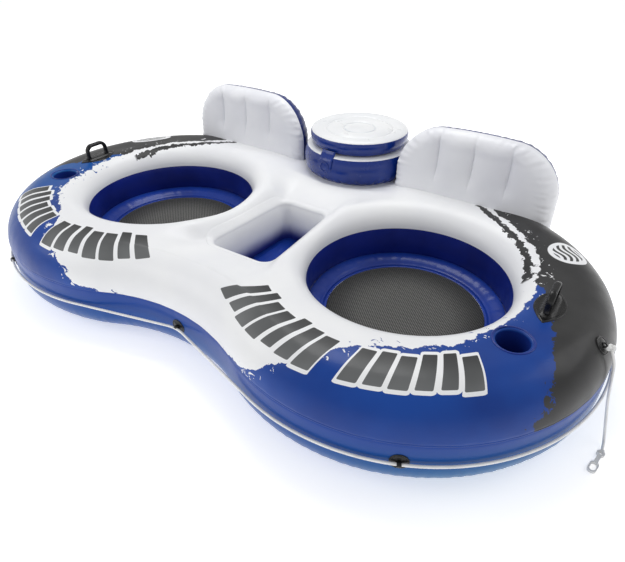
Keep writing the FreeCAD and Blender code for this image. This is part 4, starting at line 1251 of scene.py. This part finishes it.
def make_ties():
    """Films inside each backrest that hold its front panel back along the three grooves."""
    heights = np.linspace(0.392, 0.528, 12)
    for side, mirror in SIDES:
        points, faces = [], []
        for groove in GROOVES:
            faces += strip(len(heights), 2, len(points), closed=False)
            for z in heights:
                for front, inward in ((True, 0.0025), (False, -0.0025)):
                    y = BACK_MIDDLE.y + back_surface(groove, z, front, 2.0 + mirror) + inward
                    points.append((mirror * (BACK_MIDDLE.x + groove), y, z))
        piece("backrest_ties_%s_film" % side, points, faces, "inner_film", "backrest_" + side,
              ("backrest_ties_" + side,), FILM)


make_backrests()
make_ties()


# ---------------------------------------------------------------- handles

def swept(path, section_at):
    """Points and faces of a section carried along a path; section_at(i) gives (across, up) pairs and axes."""
    points, count = [], 0
    for i, place in enumerate(path):
        pairs, side, up = section_at(i)
        count = len(pairs)
        points += [tuple(place + side * a + up * b) for a, b in pairs]
    return points, tube_faces(len(path), count)


def oval(half_a, half_b, power=2.6, count=20):
    """Superellipse section."""
    pairs = []
    for turn in turns_of(count):
        c, s = math.cos(turn), math.sin(turn)
        pairs.append((half_a * math.copysign(abs(c) ** (2 / power), c),
                      half_b * math.copysign(abs(s) ** (2 / power), s)))
    return pairs


def make_handles():
    low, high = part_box("handle_patch_right")
    grip_low, grip_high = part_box("handle_grip_right")
    middle = (low + high) / 2
    half_long, half_wide = (high.y - low.y) / 2, (high.x - low.x) / 2
    top = grip_high.z
    grip_half = (grip_high.y - grip_low.y) / 2
    for side, sign in SIDES:
        rows, columns = 61, 41
        points = []
        for u in np.linspace(-1, 1, rows):
            width = half_wide * (1 - abs(u) ** 2.1) + 0.0004
            for v in np.linspace(-1, 1, columns):
                edge = min((1 - abs(v)) * width, (1 - abs(u)) * half_long * 0.62)
                rise = 0.0026 * min(1.0, edge / 0.0022) ** 0.5
                rise += 0.0013 * hill(edge, 0.0075, 0.0016)
                x, y = v * width, u * half_long
                foot = (x / 0.0205) ** 4 + (y / 0.060) ** 4
                rise += 0.0075 * math.exp(-foot ** 2)
                points.append((sign * (middle.x + x), middle.y + y, low.z + rise - 0.0008))
        piece("handle_patch_%s_moulding" % side, points, strip(rows, columns, closed=False), "black_rubber",
              "float", ("handle_patch_" + side,))
        bar = 0.0075
        turn_r = 0.026
        base_z, top_z = low.z + 0.005, top - bar
        reach = grip_half - bar - 0.001
        leg = [(-reach, z) for z in np.linspace(base_z, top_z - turn_r, 9)]
        for t in np.linspace(0, math.pi / 2, 13)[1:]:
            leg.append((-reach + turn_r * (1 - math.cos(t)), top_z - turn_r + turn_r * math.sin(t)))
        path = leg + [(y, top_z) for y in np.linspace(-reach + turn_r, reach - turn_r, 9)[1:-1]]
        path += [(-y, z) for y, z in leg[::-1]]
        line = [Vector((sign * middle.x, middle.y + y, z)) for y, z in path]

        def section(i):
            ahead = line[min(i + 1, len(line) - 1)] - line[max(i - 1, 0)]
            ahead.normalize()
            height = (line[i].z - base_z) / (top_z - base_z)
            flare = 1 + 0.55 * hill(height, 0.0, 0.16)
            across = Vector((1, 0, 0))
            return oval(0.0104 * (0.92 + 0.08 * height), bar * flare), across, ahead.cross(across)

        points, faces = swept(line, section)
        piece("handle_grip_%s_loop" % side, points, faces, "black_rubber", "float", ("handle_grip_" + side,))


make_handles()


# ---------------------------------------------------------------- rope, guides, tail and knot

def along_line(points, step, closed=False):
    """The same line with points one step apart."""
    points = np.array(points, float)
    if closed:
        points = np.concatenate([points, points[:1]])
    runs = np.concatenate([[0], np.cumsum(np.linalg.norm(np.diff(points, axis=0), axis=1))])
    at = np.linspace(0, runs[-1], int(runs[-1] / step) + 1)
    line = np.stack([np.interp(at, runs, points[:, k]) for k in range(3)], 1)
    return line[:-1] if closed else line


def braided(line, diameter, closed=False, sides_round=16, pitch=0.0105):
    """Points and faces of a braided rope: two families of strands that wind opposite ways."""
    line = np.array(line)
    ahead = np.roll(line, -1, 0) - np.roll(line, 1, 0)
    if not closed:
        ahead[0], ahead[-1] = line[1] - line[0], line[-1] - line[-2]
    ahead /= np.linalg.norm(ahead, axis=1)[:, None]
    side = np.cross(ahead[0], (0, 0, 1) if abs(ahead[0][2]) < 0.9 else (1, 0, 0))
    length = np.concatenate([[0], np.cumsum(np.linalg.norm(np.diff(line, axis=0), axis=1))])
    if closed:
        total = length[-1] + np.linalg.norm(line[0] - line[-1])
        pitch = total / round(total / pitch)
    turns = turns_of(sides_round)
    points = []
    for i in range(len(line)):
        side = side - ahead[i] * side.dot(ahead[i])
        side /= np.linalg.norm(side)
        other = np.cross(ahead[i], side)
        phase = 2 * math.pi * length[i] / pitch
        relief = np.maximum(np.cos(4 * turns + phase), np.cos(4 * turns - phase))
        end = 1.0
        if not closed:
            end = min(1.0, 0.35 + min(length[i], length[-1] - length[i]) / 0.003)
        radius = diameter / 2 * (0.925 + 0.075 * relief) * end
        ring = line[i] + radius[:, None] * (np.cos(turns)[:, None] * side + np.sin(turns)[:, None] * other)
        points += [tuple(p) for p in ring]
    return points, tube_faces(len(line), sides_round, closed)


def rope_line():
    """Grab rope in plan: tight round each lobe and the rear bulge, and drawn in to the waist guide."""
    guide = np.array((0.0, SEAT.y - WAIST_REACH - STAND_OFF))
    lobe, bulge = LOBE_R + STAND_OFF, BULGE_R + STAND_OFF
    ahead = SEAT.y - guide[1]
    front = math.asin(min(1.0, lobe / math.hypot(SEAT.x, ahead)))
    away = math.atan2(ahead, SEAT.x)
    reach = math.hypot(SEAT.x, ahead) * math.cos(front)
    touch = guide + np.array([math.cos(away - front), math.sin(away - front)]) * reach
    start = math.atan2(touch[1] - SEAT.y, touch[0] - SEAT.x)
    lean = math.acos((lobe - bulge) / math.hypot(SEAT.x, COOLER.y - SEAT.y))
    leave = math.atan2(COOLER.y - SEAT.y, -SEAT.x) - lean

    def arc(x, y, radius, first, last, count):
        return [(x + radius * math.cos(t), y + radius * math.sin(t)) for t in np.linspace(first, last, count)]

    right = arc(SEAT.x, SEAT.y, lobe, start, leave, 360) + arc(0.0, COOLER.y, bulge, leave, math.pi / 2, 60)
    left = [(-x, y) for x, y in right[-2::-1]]
    line = along_line([(x, y, ROPE_Z) for x, y in [tuple(guide), *right, *left]], 0.0016, True)
    window = 46
    near = [i for i, place in enumerate(line) if abs(place[0]) < 0.07 and place[1] < SEAT.y]
    soft = line.copy()
    for i in near:
        picked = np.take(line, range(i - window // 2, i + window // 2 + 1), axis=0, mode="wrap")
        soft[i] = picked.mean(0)
    return soft


def make_grab_rope():
    points, faces = braided(rope_line(), ROPE_D, True)
    piece("grab_rope_braid", points, faces, "white_rope", "float", ("grab_rope",))


def guide_shape(place, normal, along, loop=True):
    """Round welded patch with a stepped edge, and a moulded loop over the rope."""
    up = normal.cross(along)
    profile = ((0.0260, 0.0002), (0.0259, 0.0014), (0.0250, 0.0021), (0.0232, 0.0023), (0.0222, 0.0016),
               (0.0205, 0.0015), (0.0193, 0.0024), (0.0150, 0.0026), (0.0100, 0.0034), (0.0060, 0.0050),
               (0.0030, 0.0052))
    count = 40

    def at(along_it, up_it, rise):
        return tuple(place + along * along_it + up * up_it + normal * rise)

    patch = [at(radius * math.cos(turn), radius * math.sin(turn), rise)
             for radius, rise in profile for turn in turns_of(count)]
    last = (len(profile) - 1) * count
    parts = [(patch, strip(len(profile), count) + [tuple(range(last, last + count))])]
    if loop:
        around, across = 32, 12
        bow = []
        for big in turns_of(around):
            for a, b in oval(0.0060, 0.0013, 3.0, across):
                flare = 0.0063 + b + 0.0009 * (a / 0.006) ** 2
                bow.append(at(a, flare * math.sin(big), STAND_OFF + flare * math.cos(big)))
        parts.append((bow, strip(around, across, joined=True)))
        foot = [at(a, b, rise) for rise, wide, long in ((0.0018, 0.0082, 0.0085), (0.0040, 0.0068, 0.0066),
                                                        (0.0052, 0.0050, 0.0058))
                for a, b in oval(long, wide, 3.0, 20)]
        parts.append((foot, strip(3, 20)))
    return merged(parts)


def square_to(out):
    """Level direction square to an outward one."""
    return Vector((-out.y, out.x, 0))


def make_guides():
    spots = []
    for angle in (-65.0, 15.0, 65.0):
        turn = math.radians(angle)
        for _, sign in SIDES:
            out = Vector((sign * math.cos(turn), math.sin(turn), 0))
            spots.append((Vector((sign * SEAT.x, SEAT.y, ROPE_Z)) + out * LOBE_R, out))
    spots.append((Vector((0, SEAT.y - WAIST_REACH - 0.0004, ROPE_Z)), Vector((0, -1, 0))))
    spots.append((Vector((0, COOLER.y + BULGE_R, ROPE_Z)), Vector((0, 1, 0))))
    points, faces = merged(guide_shape(place, out, square_to(out)) for place, out in spots)
    piece("rope_guide_mouldings", points, faces, "black_rubber", "float", ("rope_guides",))

    turn, tilt = math.radians(-6.0), math.radians(45.0)
    out = Vector((math.cos(turn), math.sin(turn), 0))
    normal = out * math.cos(tilt) + Vector((0, 0, math.sin(tilt)))
    place = Vector((SEAT.x, SEAT.y, SEAM)) + out * (LOBE_R - TOP_ROUND) + normal * TOP_ROUND
    along = square_to(out)
    up = normal.cross(along)
    bow = []
    for big in np.linspace(0, math.pi, 22):
        middle = place + normal * (0.002 + 0.0095 * math.sin(big)) + up * (0.0075 * math.cos(big))
        ray = normal * math.sin(big) + up * math.cos(big)
        for small in turns_of(10):
            bow.append(tuple(middle + ray * (0.0021 * math.cos(small)) + along * (0.0032 * math.sin(small))))
    points, faces = merged([guide_shape(place, normal, along, False), (bow, strip(22, 10))])
    piece("rope_anchor_moulding", points, faces, "black_rubber", "float", ("rope_anchor",))


def make_tail():
    data = bpy.data.curves.new("tail_route", "CURVE")
    data.dimensions = "3D"
    data.resolution_u = 24
    route = data.splines.new("NURBS")
    route.points.add(len(TAIL) - 1)
    for point, (x, y, z) in zip(route.points, TAIL):
        point.co = (x, SEAT.y + y, z, 1.0)
    route.order_u = 3
    route.use_endpoint_u = True
    holder = bpy.data.objects.new("tail_route", data)
    mesh = bpy.data.meshes.new_from_object(holder)
    line = along_line([tuple(v.co) for v in mesh.vertices], 0.0015)
    bpy.data.objects.remove(holder)
    points, faces = braided(line, ROPE_D)
    tail = piece("tail_rope_braid", points, faces, "white_rope", "float", ("tail_rope",))

    top = Vector(line[0])
    back = (top - Vector(line[20])).normalized()
    side = back.cross(Vector((0, 1, 0))).normalized()
    other = back.cross(side)
    knot = []
    for t in np.linspace(0.18, 2 * math.pi - 0.18, 150):
        a, b, c = math.sin(t) + 2 * math.sin(2 * t), math.cos(t) - 2 * math.cos(2 * t), -math.sin(3 * t)
        knot.append(tuple(top + back * 0.006 + side * (0.0033 * a) + other * (0.0033 * b)
                          + back * (0.0050 * c)))
    points, faces = braided(along_line(knot, 0.0012), 0.0078)
    piece("rope_knot_braid", points, faces, "white_rope", "float", ("rope_knot",))


make_grab_rope()
make_guides()
make_tail()


# ---------------------------------------------------------------- CAD nodes that stay, with their finish

for part in frame["record"]["subparts"]:
    node = frame["nodes"][part["node"]]
    node.data.materials.clear()
    node.data.materials.append(MATERIALS[part["material_slot"]])
    if "valve" in part["node"] or "hook" in part["node"]:
        edge = node.modifiers.new("edge", "BEVEL")
        edge.width, edge.segments, edge.limit_method = 0.0008, 3, "ANGLE"


# ---------------------------------------------------------------- stage and light

def make_stage():
    floor = bpy.data.meshes.new("floor")
    corners = ((-30, -30), (30, -30), (30, 30), (-30, 30))
    floor.from_pydata([(x, y, -0.0005) for x, y in corners], [], [(0, 1, 2, 3)])
    material, tree, shader = new_material("floor", 0.9)
    shader.inputs["Emission Color"].default_value = (1.0, 1.0, 1.0, 1.0)
    shader.inputs["Emission Strength"].default_value = 0.50
    tone = clouds(tree, 0.8, detail=2.0)
    paint(tree, shader, mix(tree, tone, linear(250, 250, 250), linear(247, 247, 248)))
    floor.materials.append(material)
    floor_object = bpy.data.objects.new("floor", floor)
    scene.collection.objects.link(floor_object)

    world = bpy.data.worlds.new("studio")
    world.use_nodes = True
    tree = world.node_tree
    sky = tree.nodes.new("ShaderNodeSeparateXYZ")
    tree.links.new(tree.nodes.new("ShaderNodeTexCoord").outputs["Generated"], sky.inputs[0])
    glow = Wire(tree, sky.outputs[2]).ramp(0.02, 0.30, 1.0, 0.52)
    tree.nodes["Background"].inputs["Color"].default_value = (1.0, 1.0, 1.0, 1.0)
    tree.links.new(glow.socket, tree.nodes["Background"].inputs["Strength"])
    scene.world = world
    lamps = (((-0.4, 0.7, 2.8), 1.6, 34.0), ((-2.6, -2.6, 2.2), 1.8, 24.0), ((3.0, 1.6, 2.4), 1.8, 16.0))
    for number, (place, size, power) in enumerate(lamps):
        data = bpy.data.lights.new("softbox_%d" % number, "AREA")
        data.size = size
        data.energy = power
        lamp = bpy.data.objects.new("softbox_%d" % number, data)
        lamp.location = place
        lamp.rotation_mode = "QUATERNION"
        lamp.rotation_quaternion = (Vector(place) - Vector((0, 0, 0.2))).to_track_quat("Z", "Y")
        scene.collection.objects.link(lamp)
    scene.view_settings.view_transform = "Standard"


make_stage()
